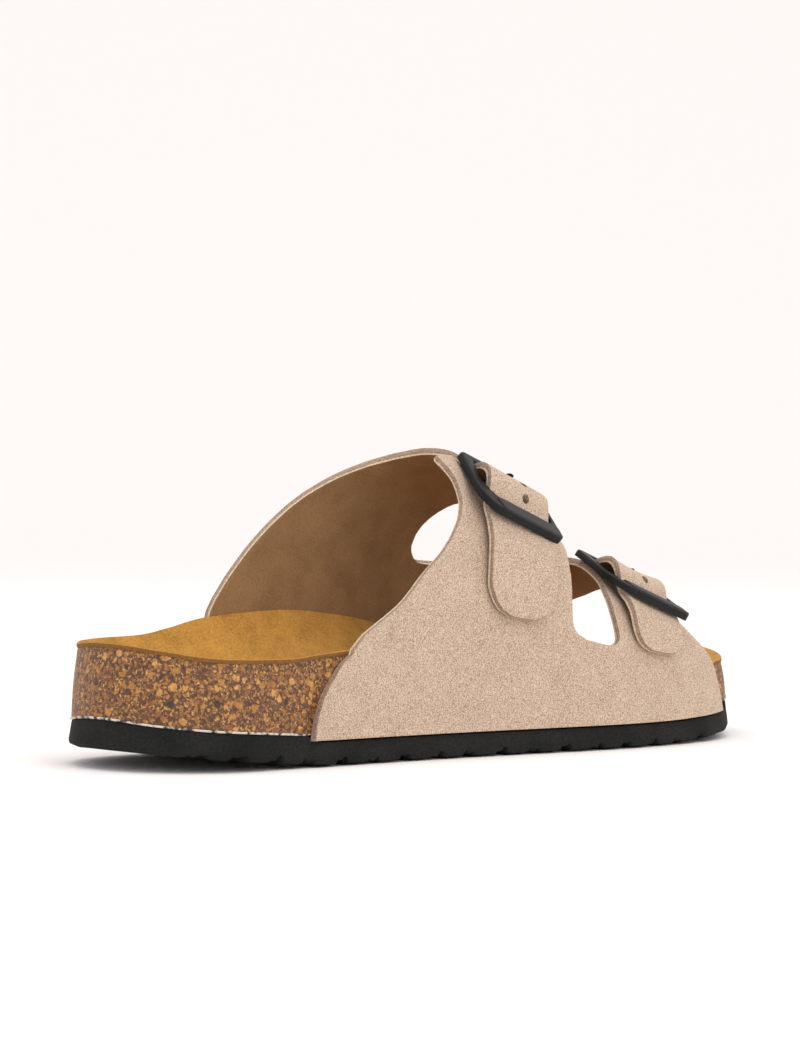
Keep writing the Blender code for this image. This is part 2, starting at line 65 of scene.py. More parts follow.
END_TURNS_DEG = (0.15, *range(2, 90, 3))
SHEET_FLARE = 0.3
SHEET_TOP_INSET = 0.5
WALKING_BEVEL = 1.3
LEDGE_DROP = 2.1
LEDGE_WIDTH = 3.4
LEDGE_FLARE = 0.9
LEDGE_STAND = 1.1
QUARTER_FROM = 51.0
QUARTER_TO = 231.5
QUARTER_BLEND = 3.0
TREAD_INSET = 2.4
TREAD_PITCH = 12.0
TREAD_GROOVE = 4.0
TREAD_DEPTH = 1.9
TREAD_FLOOR = 0.3
TREAD_MOUTH = 0.75
TREAD_LEAST = 0.1
TREAD_MEAN = 0.65
TREAD_RAGGED = ((0.4, 0.83, 0.0), (0.35, 2.1, 1.0))
TREAD_FROM = 8.0
TREAD_TO = 248.0
RUBBER_BLACK = "#131313"
RUBBER_GREY = "#262626"
RUBBER_STIPPLE_MM = 0.6
RUBBER_SCUFF_MM = 14.0
SEAM_CLOSE = 0.001
CREASE_DEG = 38.0


def clamp01(value):
    return min(1.0, max(0.0, value))


def ease(start, end, value):
    t = clamp01((value - start) / (end - start))
    return t * t * (3.0 - 2.0 * t)


def blend(start, end, t):
    return start + (end - start) * t


def fair_curve(rows, column):
    """Smooth curve through one column of a table against its first column, without overshoot."""
    xs = [row[0] for row in rows]
    ys = [row[column] for row in rows]
    steps = [after - before for before, after in zip(xs, xs[1:])]
    rises = [(ys[i + 1] - ys[i]) / step for i, step in enumerate(steps)]
    slopes = [rises[0]]
    for before, after in zip(rises, rises[1:]):
        slopes.append(0.0 if before * after <= 0.0 else 2.0 * before * after / (before + after))
    slopes.append(rises[-1])

    def value(x):
        x = min(xs[-1], max(xs[0], x))
        i = min(len(steps) - 1, max(0, bisect_right(xs, x) - 1))
        t = (x - xs[i]) / steps[i]
        return (
            ys[i] * (2 * t**3 - 3 * t**2 + 1)
            + slopes[i] * steps[i] * (t**3 - 2 * t**2 + t)
            + ys[i + 1] * (3 * t**2 - 2 * t**3)
            + slopes[i + 1] * steps[i] * (t**3 - t**2)
        )

    return value


outer_width = fair_curve(SOLE_WIDTHS, 1)
inner_width = fair_curve(SOLE_WIDTHS, 2)
curled_under = fair_curve(HEEL_CURL, 1)
curled_top = fair_curve(HEEL_CURL, 2)


def sole_edge(along, side):
    """Outline of the sole: a round heel, the table of widths, and a round toe end."""
    if along < HEEL_RADIUS:
        reach = HEEL_RADIUS - max(0.0, along)
        return side * math.sqrt(max(0.0, HEEL_RADIUS**2 - reach**2))
    width = outer_width if side > 0 else inner_width
    if along > TOE_FROM:
        bend, round_off = TOE_ROUNDS[side]
        run = (along - TOE_FROM) / (SOLE_LENGTH - TOE_FROM)
        return blend(TOE_TIP_ACROSS, width(TOE_FROM), max(0.0, 1.0 - run**bend) ** round_off)
    return width(along)


def inside_edge(along, side, inset):
    """Point of the outline moved inwards, square to it."""
    if along < HEEL_RADIUS:
        turn = math.acos(1.0 - along / HEEL_RADIUS)
        radius = HEEL_RADIUS - inset
        return side * radius * math.sin(turn), HEEL_RADIUS - radius * math.cos(turn)
    low = max(END_MARGIN, along - SLOPE_STEP)
    high = min(SOLE_LENGTH - END_MARGIN, along + SLOPE_STEP)
    run_across = sole_edge(high, side) - sole_edge(low, side)
    run_along = high - low
    size = math.hypot(run_across, run_along)
    across = sole_edge(along, side) - side * inset * run_along / size
    return across, along + side * inset * run_across / size


def toe_rise(along):
    run = clamp01((along - TOE_SPRING_FROM) / (SOLE_LENGTH - TOE_SPRING_FROM))
    return TOE_SPRING * run**TOE_SPRING_BEND


def sheet_under(along):
    return curled_under(along) + toe_rise(along)


def sheet_top(along):
    return curled_top(along) + toe_rise(along)


def quarter_cover(along):
    """1 where the quarters cover the cork's side, 0 at the bare heel and toe."""
    half = 0.5 * QUARTER_BLEND
    start = ease(QUARTER_FROM - half, QUARTER_FROM + half, along)
    return start * (1.0 - ease(QUARTER_TO - half, QUARTER_TO + half, along))


def edge_point(along, side, inset, height, above):
    across, place = inside_edge(along, side, inset)
    return across, place, height(place) + above


def places_along(step):
    """Places along the sole, close together round the heel and the toe."""
    turns = [math.radians(angle) for angle in END_TURNS_DEG]
    heel = [HEEL_RADIUS * (1.0 - math.cos(turn)) for turn in turns]
    toe = [TOE_FROM + (SOLE_LENGTH - TOE_FROM) * math.cos(turn) for turn in reversed(turns)]
    count = round((TOE_FROM - HEEL_RADIUS) / step)
    return heel + [blend(HEEL_RADIUS, TOE_FROM, i / count) for i in range(count + 1)] + toe


def in_row(point):
    """Point of the last, in millimetres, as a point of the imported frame."""
    return (point[0] + ACROSS_TO_ROW) * MM, (point[1] + ALONG_TO_ROW) * MM, point[2] * MM


def face_outwards(piece):
    bpy.ops.object.mode_set(mode="EDIT")
    bpy.ops.mesh.select_all(action="SELECT")
    bpy.ops.mesh.normals_make_consistent(inside=False)
    bpy.ops.object.mode_set(mode="OBJECT")
    bpy.ops.object.shade_smooth_by_angle(angle=math.radians(CREASE_DEG))


def lofted_piece(name, rows, fold=None):
    """A ball drawn out to the rows of a closed form.

    With a fold, each end row closes on itself, place k on place fold - k, and the poles go.
    """
    bpy.ops.object.select_all(action="DESELECT")
    around = len(rows[0])
    rings = len(rows) + 1
    bpy.ops.mesh.primitive_uv_sphere_add(segments=around, ring_count=rings, radius=1.0)
    piece = bpy.context.object
    piece.name = piece.data.name = name
    bpy.ops.object.mode_set(mode="EDIT")
    bpy.ops.mesh.select_mode(type="VERT")
    bpy.ops.mesh.select_all(action="DESELECT")
    bpy.ops.object.mode_set(mode="OBJECT")
    for vertex in piece.data.vertices:
        ring = round(math.acos(max(-1.0, min(1.0, vertex.co.z))) / math.pi * rings) - 1
        turn = round(math.atan2(vertex.co.y, vertex.co.x) / (2.0 * math.pi) * around) % around
        if 0 <= ring < len(rows):
            point = rows[ring][turn]
            if fold is not None and ring in (0, len(rows) - 1):
                point = [0.5 * sum(pair) for pair in zip(point, rows[ring][(fold - turn) % around])]
            vertex.co = in_row(point)
        else:
            end = rows[0] if ring < 0 else rows[-1]
            vertex.co = in_row([sum(point[i] for point in end) / around for i in range(3)])
            vertex.select = True
    if fold is not None:
        bpy.ops.object.mode_set(mode="EDIT")
        bpy.ops.mesh.delete(type="VERT")
        bpy.ops.mesh.select_all(action="SELECT")
        bpy.ops.mesh.remove_doubles(threshold=SEAM_CLOSE * MM)
        bpy.ops.object.mode_set(mode="OBJECT")
    face_outwards(piece)
    return piece


def linear(hex_colour):
    """sRGB hex value as a linear colour with alpha."""
    parts = [int(hex_colour[i:i + 2], 16) / 255.0 for i in (1, 3, 5)]
    return (*[part / 12.92 if part <= 0.04045 else ((part + 0.055) / 1.055) ** 2.4 for part in parts], 1.0)


def add_node(tree, kind, inputs, **settings):
    """Add a node, with its settings, and its sockets set or linked."""
    made = tree.nodes.new(kind)
    for name, value in settings.items():
        setattr(made, name, value)
    for socket, value in inputs.items():
        if isinstance(value, bpy.types.NodeSocket):
            tree.links.new(value, made.inputs[socket])
        else:
            made.inputs[socket].default_value = value
    return made


def start_finish(name, roughness, ior=1.5):
    """New material with its shader and the piece's own coordinates."""
    finish = bpy.data.materials.new(name)
    finish.use_nodes = True
    tree = finish.node_tree
    shader = tree.nodes["Principled BSDF"]
    shader.inputs["Roughness"].default_value = roughness
    shader.inputs["IOR"].default_value = ior
    place = tree.nodes.new("ShaderNodeTexCoord").outputs["Object"]
    return finish, tree, shader, place


def put_on(tree, shader, tint, relief=None):
    """Give a shader its mixed colour and, where there is one, its relief."""
    tree.links.new(tint.outputs[2], shader.inputs["Base Color"])
    if relief:
        tree.links.new(relief.outputs[0], shader.inputs["Normal"])


def tread_groove(along):
    """Depth of the worn, ragged groove between two bars of the tread."""
    if not TREAD_FROM < along < TREAD_TO:
        return 0.0
    from_centre = abs((along - TREAD_FROM) % TREAD_PITCH - 0.5 * TREAD_PITCH)
    ragged = TREAD_MEAN
    for share, pace, start in TREAD_RAGGED:
        ragged += share * math.sin(pace * along + start)
    wall = ease(TREAD_FLOOR * TREAD_GROOVE, TREAD_MOUTH * TREAD_GROOVE, from_centre)
    return TREAD_DEPTH * max(TREAD_LEAST, ragged) * (1.0 - wall)


outsole_rows = []
for along in places_along(SOLE_STEP):
    covered = quarter_cover(along)
    drop = LEDGE_DROP * covered
    flare = SHEET_FLARE + LEDGE_FLARE * covered
    top = SHEET_TOP_INSET - LEDGE_STAND * covered
    groove = tread_groove(along)
    thick = sheet_top(along) - sheet_under(along)
    # Columns: inset from the outline, the height that is measured from, and the rise above it.
    half_round = (
        (TREAD_INSET + 6.0, sheet_under, groove),
        (TREAD_INSET + 0.5, sheet_under, groove),
        (TREAD_INSET - 0.2, sheet_under, 0.15 + groove),
        (0.35 - flare, sheet_under, WALKING_BEVEL - 0.5 + 0.8 * groove),
        (0.06 - flare, sheet_under, WALKING_BEVEL + 0.1 + 0.6 * groove),
        (-flare, sheet_under, WALKING_BEVEL + 0.9 + 0.25 * groove),
        (blend(-flare, top, 0.5), sheet_top, -0.5 * (thick - WALKING_BEVEL)),
        (top - 0.02, sheet_top, -drop - 0.7),
        (top + 0.18, sheet_top, -drop - 0.18),
        (top + 0.7, sheet_top, -drop),
        (LEDGE_WIDTH - 0.2, sheet_top, -drop),
        (LEDGE_WIDTH, sheet_top, 0.0),
    )
    outer_half = [edge_point(along, 1, *corner) for corner in half_round]
    inner_half = [edge_point(along, -1, *corner) for corner in reversed(half_round)]
    outsole_rows.append(outer_half + inner_half)
outsole = lofted_piece("sole_sheet", outsole_rows, -1)

# Foamed rubber sheet, split and ground: dead matt black with a fine pebble and faint grey scuffs.
rubber, tree, shader, place = start_finish("foamed_rubber_ground", 0.9)
shader.inputs["Specular IOR Level"].default_value = 0.25
pebble = add_node(
    tree, "ShaderNodeTexNoise", {"Vector": place, "Scale": 1.0 / (RUBBER_STIPPLE_MM * MM), "Detail": 3.0},
)
scuff = add_node(
    tree, "ShaderNodeTexNoise", {"Vector": place, "Scale": 1.0 / (RUBBER_SCUFF_MM * MM), "Detail": 5.0},
)
worn = add_node(
    tree, "ShaderNodeMath", {0: pebble.outputs["Fac"], 1: scuff.outputs["Fac"]}, operation="MULTIPLY",
)
share = add_node(tree, "ShaderNodeMapRange", {"Value": worn.outputs[0], "From Min": 0.15, "From Max": 0.42})
tint = add_node(
    tree, "ShaderNodeMix", {0: share.outputs[0], 6: linear(RUBBER_BLACK), 7: linear(RUBBER_GREY)},
    data_type="RGBA",
)
relief = add_node(
    tree, "ShaderNodeBump", {"Height": pebble.outputs["Fac"], "Strength": 0.5, "Distance": 0.25 * MM},
)
put_on(tree, shader, tint, relief)
outsole.data.materials.append(rubber)
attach(outsole, "root")
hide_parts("outsole")

# Cement line
# Pale contact cement that squeezed out between the rubber and the cork and dried as a broken bead.
# It shows round the heel and the toe, where no quarter covers the joint.
BEAD_RADIUS = 0.34
BEAD_INSET = 0.35
BEAD_TUCK = 1.6
BEAD_UP = 0.15
BEAD_STEP = 2.0
BEAD_TURNS = 6
CEMENT_WHITE = "#D2C8BB"
CEMENT_BROWN = "#3A2B22"
CEMENT_BREAK_MM = 2.2


def ring_piece(name, around, count, point):
    """A ring primitive whose section and run are drawn out to the points of a closed band."""
    bpy.ops.object.select_all(action="DESELECT")
    bpy.ops.mesh.primitive_torus_add(
        major_segments=around, minor_segments=count, major_radius=1.0, minor_radius=0.25
    )
    piece = bpy.context.object
    piece.name = piece.data.name = name
    for vertex in piece.data.vertices:
        out = math.hypot(vertex.co.x, vertex.co.y) - 1.0
        run = round(math.atan2(vertex.co.y, vertex.co.x) / (2.0 * math.pi) * around) % around
        turn = round(math.atan2(vertex.co.z, out) / (2.0 * math.pi) * count) % count
        vertex.co = in_row(point(run, turn))
    face_outwards(piece)
    return piece


bead_places = places_along(BEAD_STEP)
bead_walk = [(along, 1) for along in bead_places] + [(along, -1) for along in reversed(bead_places)]


def bead_point(run, turn):
    along, side = bead_walk[run]
    angle = 2.0 * math.pi * turn / BEAD_TURNS
    inset = BEAD_INSET + BEAD_TUCK * quarter_cover(along) - BEAD_RADIUS * math.cos(angle)
    return edge_point(along, side, inset, sheet_top, BEAD_UP + BEAD_RADIUS * math.sin(angle))


cement = ring_piece("cement_line", len(bead_walk), BEAD_TURNS, bead_point)

# Dried contact cement: off-white where it is thick, stained brown where it is thin or missing.
dried_cement, tree, shader, place = start_finish("contact_cement_dried", 0.6)
breaks = add_node(
    tree, "ShaderNodeTexNoise", {"Vector": place, "Scale": 1.0 / (CEMENT_BREAK_MM * MM), "Detail": 3.0},
)
share = add_node(
    tree, "ShaderNodeMapRange", {"Value": breaks.outputs["Fac"], "From Min": 0.4, "From Max": 0.52},
)
tint = add_node(
    tree, "ShaderNodeMix", {0: share.outputs[0], 6: linear(CEMENT_BROWN), 7: linear(CEMENT_WHITE)},
    data_type="RGBA",
)
put_on(tree, shader, tint)
cement.data.materials.append(dried_cement)
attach(cement, "root")

# Footbed
# Ground cork bound with latex and pressed in a mould to the shape of a foot, with a heel cup, an arch
# and a raised rim. Its bare side shows at the heel and toe and is sealed with a thin clear coat.
BED_HEIGHTS = (
    (0.0, 19.4, 20.0, 11.0), (20.0, 19.0, 22.2, 10.6), (40.0, 19.8, 24.0, 10.6), (66.0, 22.0, 29.4, 12.4),
    (95.0, 23.2, 31.0, 15.0), (125.0, 21.5, 28.0, 14.6), (155.0, 18.5, 21.6, 11.6),
    (185.0, 14.0, 15.2, 8.8), (215.0, 12.2, 12.4, 7.8), (240.0, 11.8, 11.8, 8.0),
    (262.0, 11.6, 11.6, 8.4),
)
CORK_FOOT_INSET = 0.4
CORK_RIM_INSET = 2.1
QUARTER_INSET = 1.0
CORK_FOOT_UP = 0.12
CORK_SIDE_ROUND = 0.35
DISH_POWER = 2.4
TOE_DISH_BEND = 1.5
BED_COLUMNS = 30
BED_STEP = 2.0
SIDE_STEPS = 8
CORK_DARK = "#4C301E"
CORK_BROWN = "#6E482B"
CORK_GOLD = "#A66D2E"
CORK_TAN = "#CF9850"
CORK_RUST = "#8A5226"
CORK_BARK = "#3C2C22"
CORK_CHIP_MM = 2.5
CORK_BIT_MM = 1.3
CORK_CRUMB_MM = 0.7
CORK_CRUMPLE_MM = 0.9
CORK_PUSH_MM = 1.6
CORK_RARE = 0.93
CORK_FLECK_MM = 0.7
RIM_JOIN = 14.0

outer_rim = fair_curve(BED_HEIGHTS, 1)
inner_rim = fair_curve(BED_HEIGHTS, 2)
bed_middle = fair_curve(BED_HEIGHTS, 3)


def rim_up(along, side):
    """Height of the cork's rim: its two sides come to one height at the heel's back and at the toe."""
    own, other = (outer_rim, inner_rim) if side > 0 else (inner_rim, outer_rim)
    apart = 0.5 + 0.5 * ease(0.0, RIM_JOIN, min(along, SOLE_LENGTH - along))
    return sheet_top(along) + blend(other(along), own(along), apart)


def dish_up(along, share):
    """Top of the footbed: share runs from -1 at the inner rim to 1 at the outer rim."""
    heel = clamp01(1.0 - along / HEEL_RADIUS)
    toe = clamp01((along - TOE_FROM) / (SOLE_LENGTH - TOE_FROM)) ** TOE_DISH_BEND
    end = max(heel, toe)
    out = math.sqrt(share**2 + (1.0 - share**2) * end**2)
    rim = blend(rim_up(along, -1), rim_up(along, 1), ease(-1.0, 1.0, share))
    return blend(sheet_top(along) + bed_middle(along), rim, out**DISH_POWER)


def bed_row(along):
    """Points over the footbed's top from its inner rim to its outer rim."""
    inset = CORK_RIM_INSET + QUARTER_INSET * quarter_cover(along)
    inner = inside_edge(along, -1, inset)
    outer = inside_edge(along, 1, inset)
    row = []
    for j in range(BED_COLUMNS + 1):
        share = math.sin(0.5 * math.pi * (2.0 * j / BED_COLUMNS - 1.0))
        mixed = 0.5 * (1.0 + share)
        across, run = [blend(inner[i], outer[i], mixed) for i in range(2)]
        row.append((across, run, dish_up(along, share)))
    return row


def cork_side(along, side):
    """Points up the cork's leaning side, from its foot to just under its rim."""
    cover = QUARTER_INSET * quarter_cover(along)
    points = []
    for i in range(SIDE_STEPS):
        t = i / SIDE_STEPS
        inset = blend(CORK_FOOT_INSET, CORK_RIM_INSET, t) + cover - CORK_SIDE_ROUND * math.sin(math.pi * t)
        across, place = inside_edge(along, side, inset)
        points.append((across, place, blend(sheet_top(place) + CORK_FOOT_UP, rim_up(along, side), t)))
    return points


footbed_rows = []
for along in places_along(BED_STEP):
    footbed_rows.append(cork_side(along, -1) + bed_row(along) + list(reversed(cork_side(along, 1))))
footbed = lofted_piece("cork_bed", footbed_rows, -1)

# Pressed cork granules: gold and tan chips of up to about 2.5 mm and finer crumbs in a dark brown bind,
# with a few dark bark specks, and a thin sealing coat that gives a low sheen.
pressed_cork, tree, shader, place = start_finish("pressed_cork_sealed", 0.6)
crumple = add_node(
    tree, "ShaderNodeTexNoise", {"Vector": place, "Scale": 1.0 / (CORK_CRUMPLE_MM * MM), "Detail": 3.0},
)
push = add_node(
    tree, "ShaderNodeVectorMath", {0: crumple.outputs["Color"], 1: [CORK_PUSH_MM * MM] * 3},
    operation="MULTIPLY",
)
pushed = add_node(tree, "ShaderNodeVectorMath", {0: place, 1: push.outputs[0]}, operation="ADD")
bind = add_node(
    tree, "ShaderNodeMapRange", {"Value": crumple.outputs["Fac"], "From Min": 0.35, "From Max": 0.68},
)
colour = add_node(
    tree, "ShaderNodeMix", {0: bind.outputs[0], 6: linear(CORK_DARK), 7: linear(CORK_BROWN)},
    data_type="RGBA",
)
height = bind.outputs[0]
# Each row: size of the grains, how far they fill their cells, two colours and that of the rare ones.
for size, reach, low, high, odd in (
    (CORK_CRUMB_MM, 0.75, CORK_RUST, CORK_TAN, CORK_DARK),
    (CORK_BIT_MM, 0.62, CORK_RUST, CORK_GOLD, CORK_DARK),
    (CORK_CHIP_MM, 0.5, CORK_GOLD, CORK_TAN, CORK_BARK),
):
    cells = add_node(
        tree, "ShaderNodeTexVoronoi", {"Vector": pushed.outputs[0], "Scale": 1.0 / (size * MM)},
    )
    draw = add_node(tree, "ShaderNodeSeparateColor", {"Color": cells.outputs["Color"]})
    radius = add_node(tree, "ShaderNodeMath", {0: draw.outputs[0], 1: reach}, operation="MULTIPLY")
    inside = add_node(
        tree, "ShaderNodeMath", {0: radius.outputs[0], 1: cells.outputs["Distance"]}, operation="SUBTRACT",
    )
    chip = add_node(
        tree, "ShaderNodeMapRange", {"Value": inside.outputs[0], "From Min": -0.03, "From Max": 0.06},
    )
    shade = add_node(
        tree, "ShaderNodeMix", {0: draw.outputs[1], 6: linear(low), 7: linear(high)}, data_type="RGBA",
    )
    rare = add_node(tree, "ShaderNodeMath", {0: draw.outputs[2], 1: CORK_RARE}, operation="GREATER_THAN")
    chip_tint = add_node(
        tree, "ShaderNodeMix", {0: rare.outputs[0], 6: shade.outputs[2], 7: linear(odd)}, data_type="RGBA",
    )
    colour = add_node(
        tree, "ShaderNodeMix", {0: chip.outputs[0], 6: colour.outputs[2], 7: chip_tint.outputs[2]},
        data_type="RGBA",
    )
    height = add_node(tree, "ShaderNodeMath", {0: height, 1: chip.outputs[0]}, operation="ADD").outputs[0]
fleck = add_node(
    tree, "ShaderNodeTexNoise", {"Vector": place, "Scale": 1.0 / (CORK_FLECK_MM * MM), "Detail": 3.0},
)
depth = add_node(
    tree, "ShaderNodeMapRange",
    {"Value": fleck.outputs["Fac"], "From Min": 0.35, "From Max": 0.65, "To Min": 0.68, "To Max": 1.12},
)
flecked = add_node(
    tree, "ShaderNodeMix", {0: 1.0, 6: colour.outputs[2], 7: depth.outputs[0]},
    data_type="RGBA", blend_type="MULTIPLY",
)
relief = add_node(tree, "ShaderNodeBump", {"Height": height, "Strength": 0.35, "Distance": 0.2 * MM})
put_on(tree, shader, flecked, relief)
shader.inputs["Coat Weight"].default_value = 0.1
shader.inputs["Coat Roughness"].default_value = 0.38
footbed.data.materials.append(pressed_cork)
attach(footbed, "root")
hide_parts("footbed")

# Insole
# A split suede liner, dyed ochre, pressed and glued over the footbed's hollow and trimmed flush at the
# rim, where its cut edge shows as a thin golden band over the cork.
LINER_THICK = 1.3
LINER_OVERHANG = 0.25
LINER_SEAT = 0.05
LINER_CUT_UP = 0.3
LINER_EDGE = ((0.0, 0.04), (-0.1, 0.3), (-0.12, 0.75), (-0.02, 1.08), (0.3, 1.26))
OCHRE_DARK = "#96692A"
OCHRE_LIGHT = "#C79141"
OCHRE_SHEEN = "#E8C588"
OCHRE_CUT_DARK = "#5F401C"
OCHRE_CUT_LIGHT = "#936530"
OCHRE_NAP_MM = 0.75
OCHRE_CLOUD_MM = 7.0


def cut_finish(name, roughness, fibre_mm, spread, dark, light, fuzz=0.0):
    """Cut edge of leather: packed fibre between two colours, raised where it is loose."""
    finish, tree, shader, place = start_finish(name, roughness, 1.4)
    fibre = add_node(
        tree, "ShaderNodeTexNoise", {"Vector": place, "Scale": 1.0 / (fibre_mm * MM), "Detail": 4.0},
    ).outputs["Fac"]
    share = add_node(
        tree, "ShaderNodeMapRange", {"Value": fibre, "From Min": spread[0], "From Max": spread[1]},
    )
    tint = add_node(
        tree, "ShaderNodeMix", {0: share.outputs[0], 6: linear(dark), 7: linear(light)}, data_type="RGBA",
    )
    relief = None
    if fuzz:
        relief = add_node(tree, "ShaderNodeBump", {"Height": fibre, "Strength": fuzz, "Distance": 0.3 * MM})
    put_on(tree, shader, tint, relief)
    return finish


insole_rows = []
for along in places_along(BED_STEP):
    cover = QUARTER_INSET * quarter_cover(along)
    top = bed_row(along)
    under = [(across, run, up + LINER_SEAT) for across, run, up in top]
    over = [(across, run, up + LINER_THICK) for across, run, up in reversed(top[1:-1])]
    outer_edge = []
    inner_edge = []
    for inset, up in LINER_EDGE:
        for side, band in ((1, outer_edge), (-1, inner_edge)):
            across, run = inside_edge(along, side, CORK_RIM_INSET + cover + inset - LINER_OVERHANG)
            band.append((across, run, rim_up(along, side) + up))
    insole_rows.append(under[1:-1] + outer_edge + over + list(reversed(inner_edge)))
insole = lofted_piece("suede_liner", insole_rows, BED_COLUMNS - 2)

# Split suede with a short brushed nap: no gloss, a soft sheen at grazing light, and patches where the
# nap lies over. The nap is drawn coarser than its real 0.1 mm so that it shows.
ochre_suede, tree, shader, place = start_finish("split_suede_ochre", 0.95, 1.4)
nap = add_node(
    tree, "ShaderNodeTexNoise",
    {"Vector": place, "Scale": 1.0 / (OCHRE_NAP_MM * MM), "Detail": 4.0, "Roughness": 0.65},
)
cloud = add_node(
    tree, "ShaderNodeTexNoise", {"Vector": place, "Scale": 1.0 / (OCHRE_CLOUD_MM * MM), "Detail": 4.0},
)
both = add_node(tree, "ShaderNodeMix", {0: 0.35, 2: nap.outputs["Fac"], 3: cloud.outputs["Fac"]})
share = add_node(tree, "ShaderNodeMapRange", {"Value": both.outputs[0], "From Min": 0.36, "From Max": 0.64})
tint = add_node(
    tree, "ShaderNodeMix", {0: share.outputs[0], 6: linear(OCHRE_DARK), 7: linear(OCHRE_LIGHT)},
    data_type="RGBA",
)
relief = add_node(
    tree, "ShaderNodeBump", {"Height": nap.outputs["Fac"], "Strength": 0.45, "Distance": 0.25 * MM},
)
put_on(tree, shader, tint, relief)
shader.inputs["Sheen Weight"].default_value = 0.25
shader.inputs["Sheen Roughness"].default_value = 0.5
shader.inputs["Sheen Tint"].default_value = linear(OCHRE_SHEEN)

# Cut edge of the liner: packed brown fibre, darker than the brushed face.
ochre_cut = cut_finish("cut_ochre_edge", 0.95, OCHRE_NAP_MM, (0.0, 1.0), OCHRE_CUT_DARK, OCHRE_CUT_LIGHT)
insole.data.materials.append(ochre_suede)
insole.data.materials.append(ochre_cut)
for polygon in insole.data.polygons:
    polygon.material_index = 1 if polygon.normal.z < LINER_CUT_UP else 0
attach(insole, "root")
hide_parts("insole")

# Outer quarter
# One piece of taupe suede bonded to a tan lining, cut with two tabs that reach up under the straps and
# lasted over the side of the cork, with its lower edge trimmed on the outsole's ledge.
RIDGE_HEIGHTS = (
    (40.0, 138.0), (75.0, 119.0), (100.0, 105.0), (115.0, 96.8), (130.0, 88.8), (150.0, 78.4),
    (165.0, 66.2), (178.0, 56.8), (190.0, 51.6), (205.0, 47.6), (225.0, 43.4),
)
RIDGE_ACROSS = -2.0
ARCH_POWER = 2.0 / 2.2
FIT = 0.3
LEATHER = 2.3
LINING = 0.85
TAB_SKIVE = 0.3
TAB_EDGES = (
    (2.27, 123.0, 146.0, 181.0, 193.0), (2.29, 121.4, 150.6, 177.0, 196.4),
    (2.33, 117.6, 154.1, 174.3, 198.8), (2.36, 114.0, 155.5, 173.5, 199.4),
    (2.385, 111.9, 156.3, 173.0, 199.8), (2.398, 111.7, 156.6, 172.9, 199.9),
    (2.406, 112.2, 156.7, 172.8, 200.0), (2.415, 113.0, 156.9, 172.8, 200.0),
    (2.43, 114.2, 157.2, 172.6, 200.2), (2.47, 115.7, 157.2, 172.3, 200.5),
    (2.535, 115.4, 156.2, 171.3, 201.2), (2.62, 112.9, 154.2, 169.6, 202.8),
    (2.686, 109.3, 153.0, 169.0, 204.8), (2.763, 103.4, 151.6, 168.6, 207.3),
    (2.85, 93.8, 150.4, 168.6, 211.0), (2.89, 89.2, 150.0, 168.4, 212.8),
    (2.915, 85.4, 150.8, 167.4, 213.8), (2.93, 82.4, 152.4, 165.8, 214.4),
    (2.938, 80.6, 155.0, 163.4, 214.8), (3.0, 67.0, 155.0, 163.4, 217.0),
    (3.245, 59.9, 155.0, 163.4, 218.6), (3.5, 55.2, 155.0, 163.4, 220.2),
    (4.0, 50.5, 155.0, 163.4, 222.0),
)
TAB_NOTCH = 2.938
STRIP_COLUMNS = 34
GIRTH_STEP = 0.022
CLOSEST_ROWS = 0.006
EDGE_ROUND = 0.3
EDGE_ANGLE_DEG = 55.0
SMOOTH_DEG = 50.0
SWEPT_FROM = 1.02
SWEPT_TO = 2.2
SWEPT_FADE = 0.15
SWEPT_REACH = 0.1
FIVE_EVEN = (-1.0, -0.5, 0.0, 0.5, 1.0)
CUT_WAVER = ((0.04, 37.0, 1.0), (0.03, 91.0, 2.0))
SKIVE_FROM = 2.8
SKIVE_TO = 2.95
TAUPE_DARK = "#917966"
TAUPE_LIGHT = "#DBC3AD"
TAUPE_SHEEN = "#F0DFCC"
TAUPE_NAP_MM = 0.38
TAUPE_CLOUD_MM = 9.0
CUT_SPREAD = (0.35, 0.65)
CUT_DARK = "#7C6656"
CUT_LIGHT = "#BBA491"
LINING_DARK = "#80603F"
LINING_LIGHT = "#A17F58"
LINING_NAP_MM = 0.6
LINING_CUT_DARK = "#B9A085"
LINING_CUT_LIGHT = "#E4D2B8"

ridge_up = fair_curve(RIDGE_HEIGHTS, 1)


def upper_point(along, girth, offset):
    """Point of the upper's wall: girth 0 inner foot, 1 inner rim, 2 ridge, 3 outer rim, 4 outer foot."""
    side = 1 if girth > 2.0 else -1
    turn = 4.0 - girth if side > 0 else girth
    cover = QUARTER_INSET * quarter_cover(along)
    foot_across = sole_edge(along, side) - side * (CORK_FOOT_INSET + cover - 1.5 * FIT)
    foot_up = sheet_top(along) - LEDGE_DROP + FIT
    rim_across = sole_edge(along, side) - side * (CORK_RIM_INSET + cover - FIT)
    rim = rim_up(along, side)
    if turn <= 1.0:
        return blend(foot_across, rim_across, turn) + side * offset, along, blend(foot_up, rim, turn)
    angle = 0.5 * math.pi * (turn - 1.0)
    reach = max(0.0, math.cos(angle)) ** ARCH_POWER
    rise = max(0.0, math.sin(angle)) ** ARCH_POWER
    across = blend(RIDGE_ACROSS, rim_across + side * offset, reach)
    return across, along, blend(rim, ridge_up(along) + offset, rise)


def girth_rows(edges):
    """Girths of the mesh rows: those of the edge table, and even steps between them."""
    values = [row[0] for row in edges]
    count = round((values[-1] - values[0]) / GIRTH_STEP)
    values += [blend(values[0], values[-1], i / count) for i in range(count + 1)]
    kept = []
    for value in sorted(values):
        if not kept or value - kept[-1] > CLOSEST_ROWS:
            kept.append(value)
    kept[-1] = max(values)
    return kept


def hand_cut(girth, phase):
    """Small waver of a knife-cut edge, in millimetres."""
    return sum(size * math.sin(pace * girth + shift * phase) for size, pace, shift in CUT_WAVER)


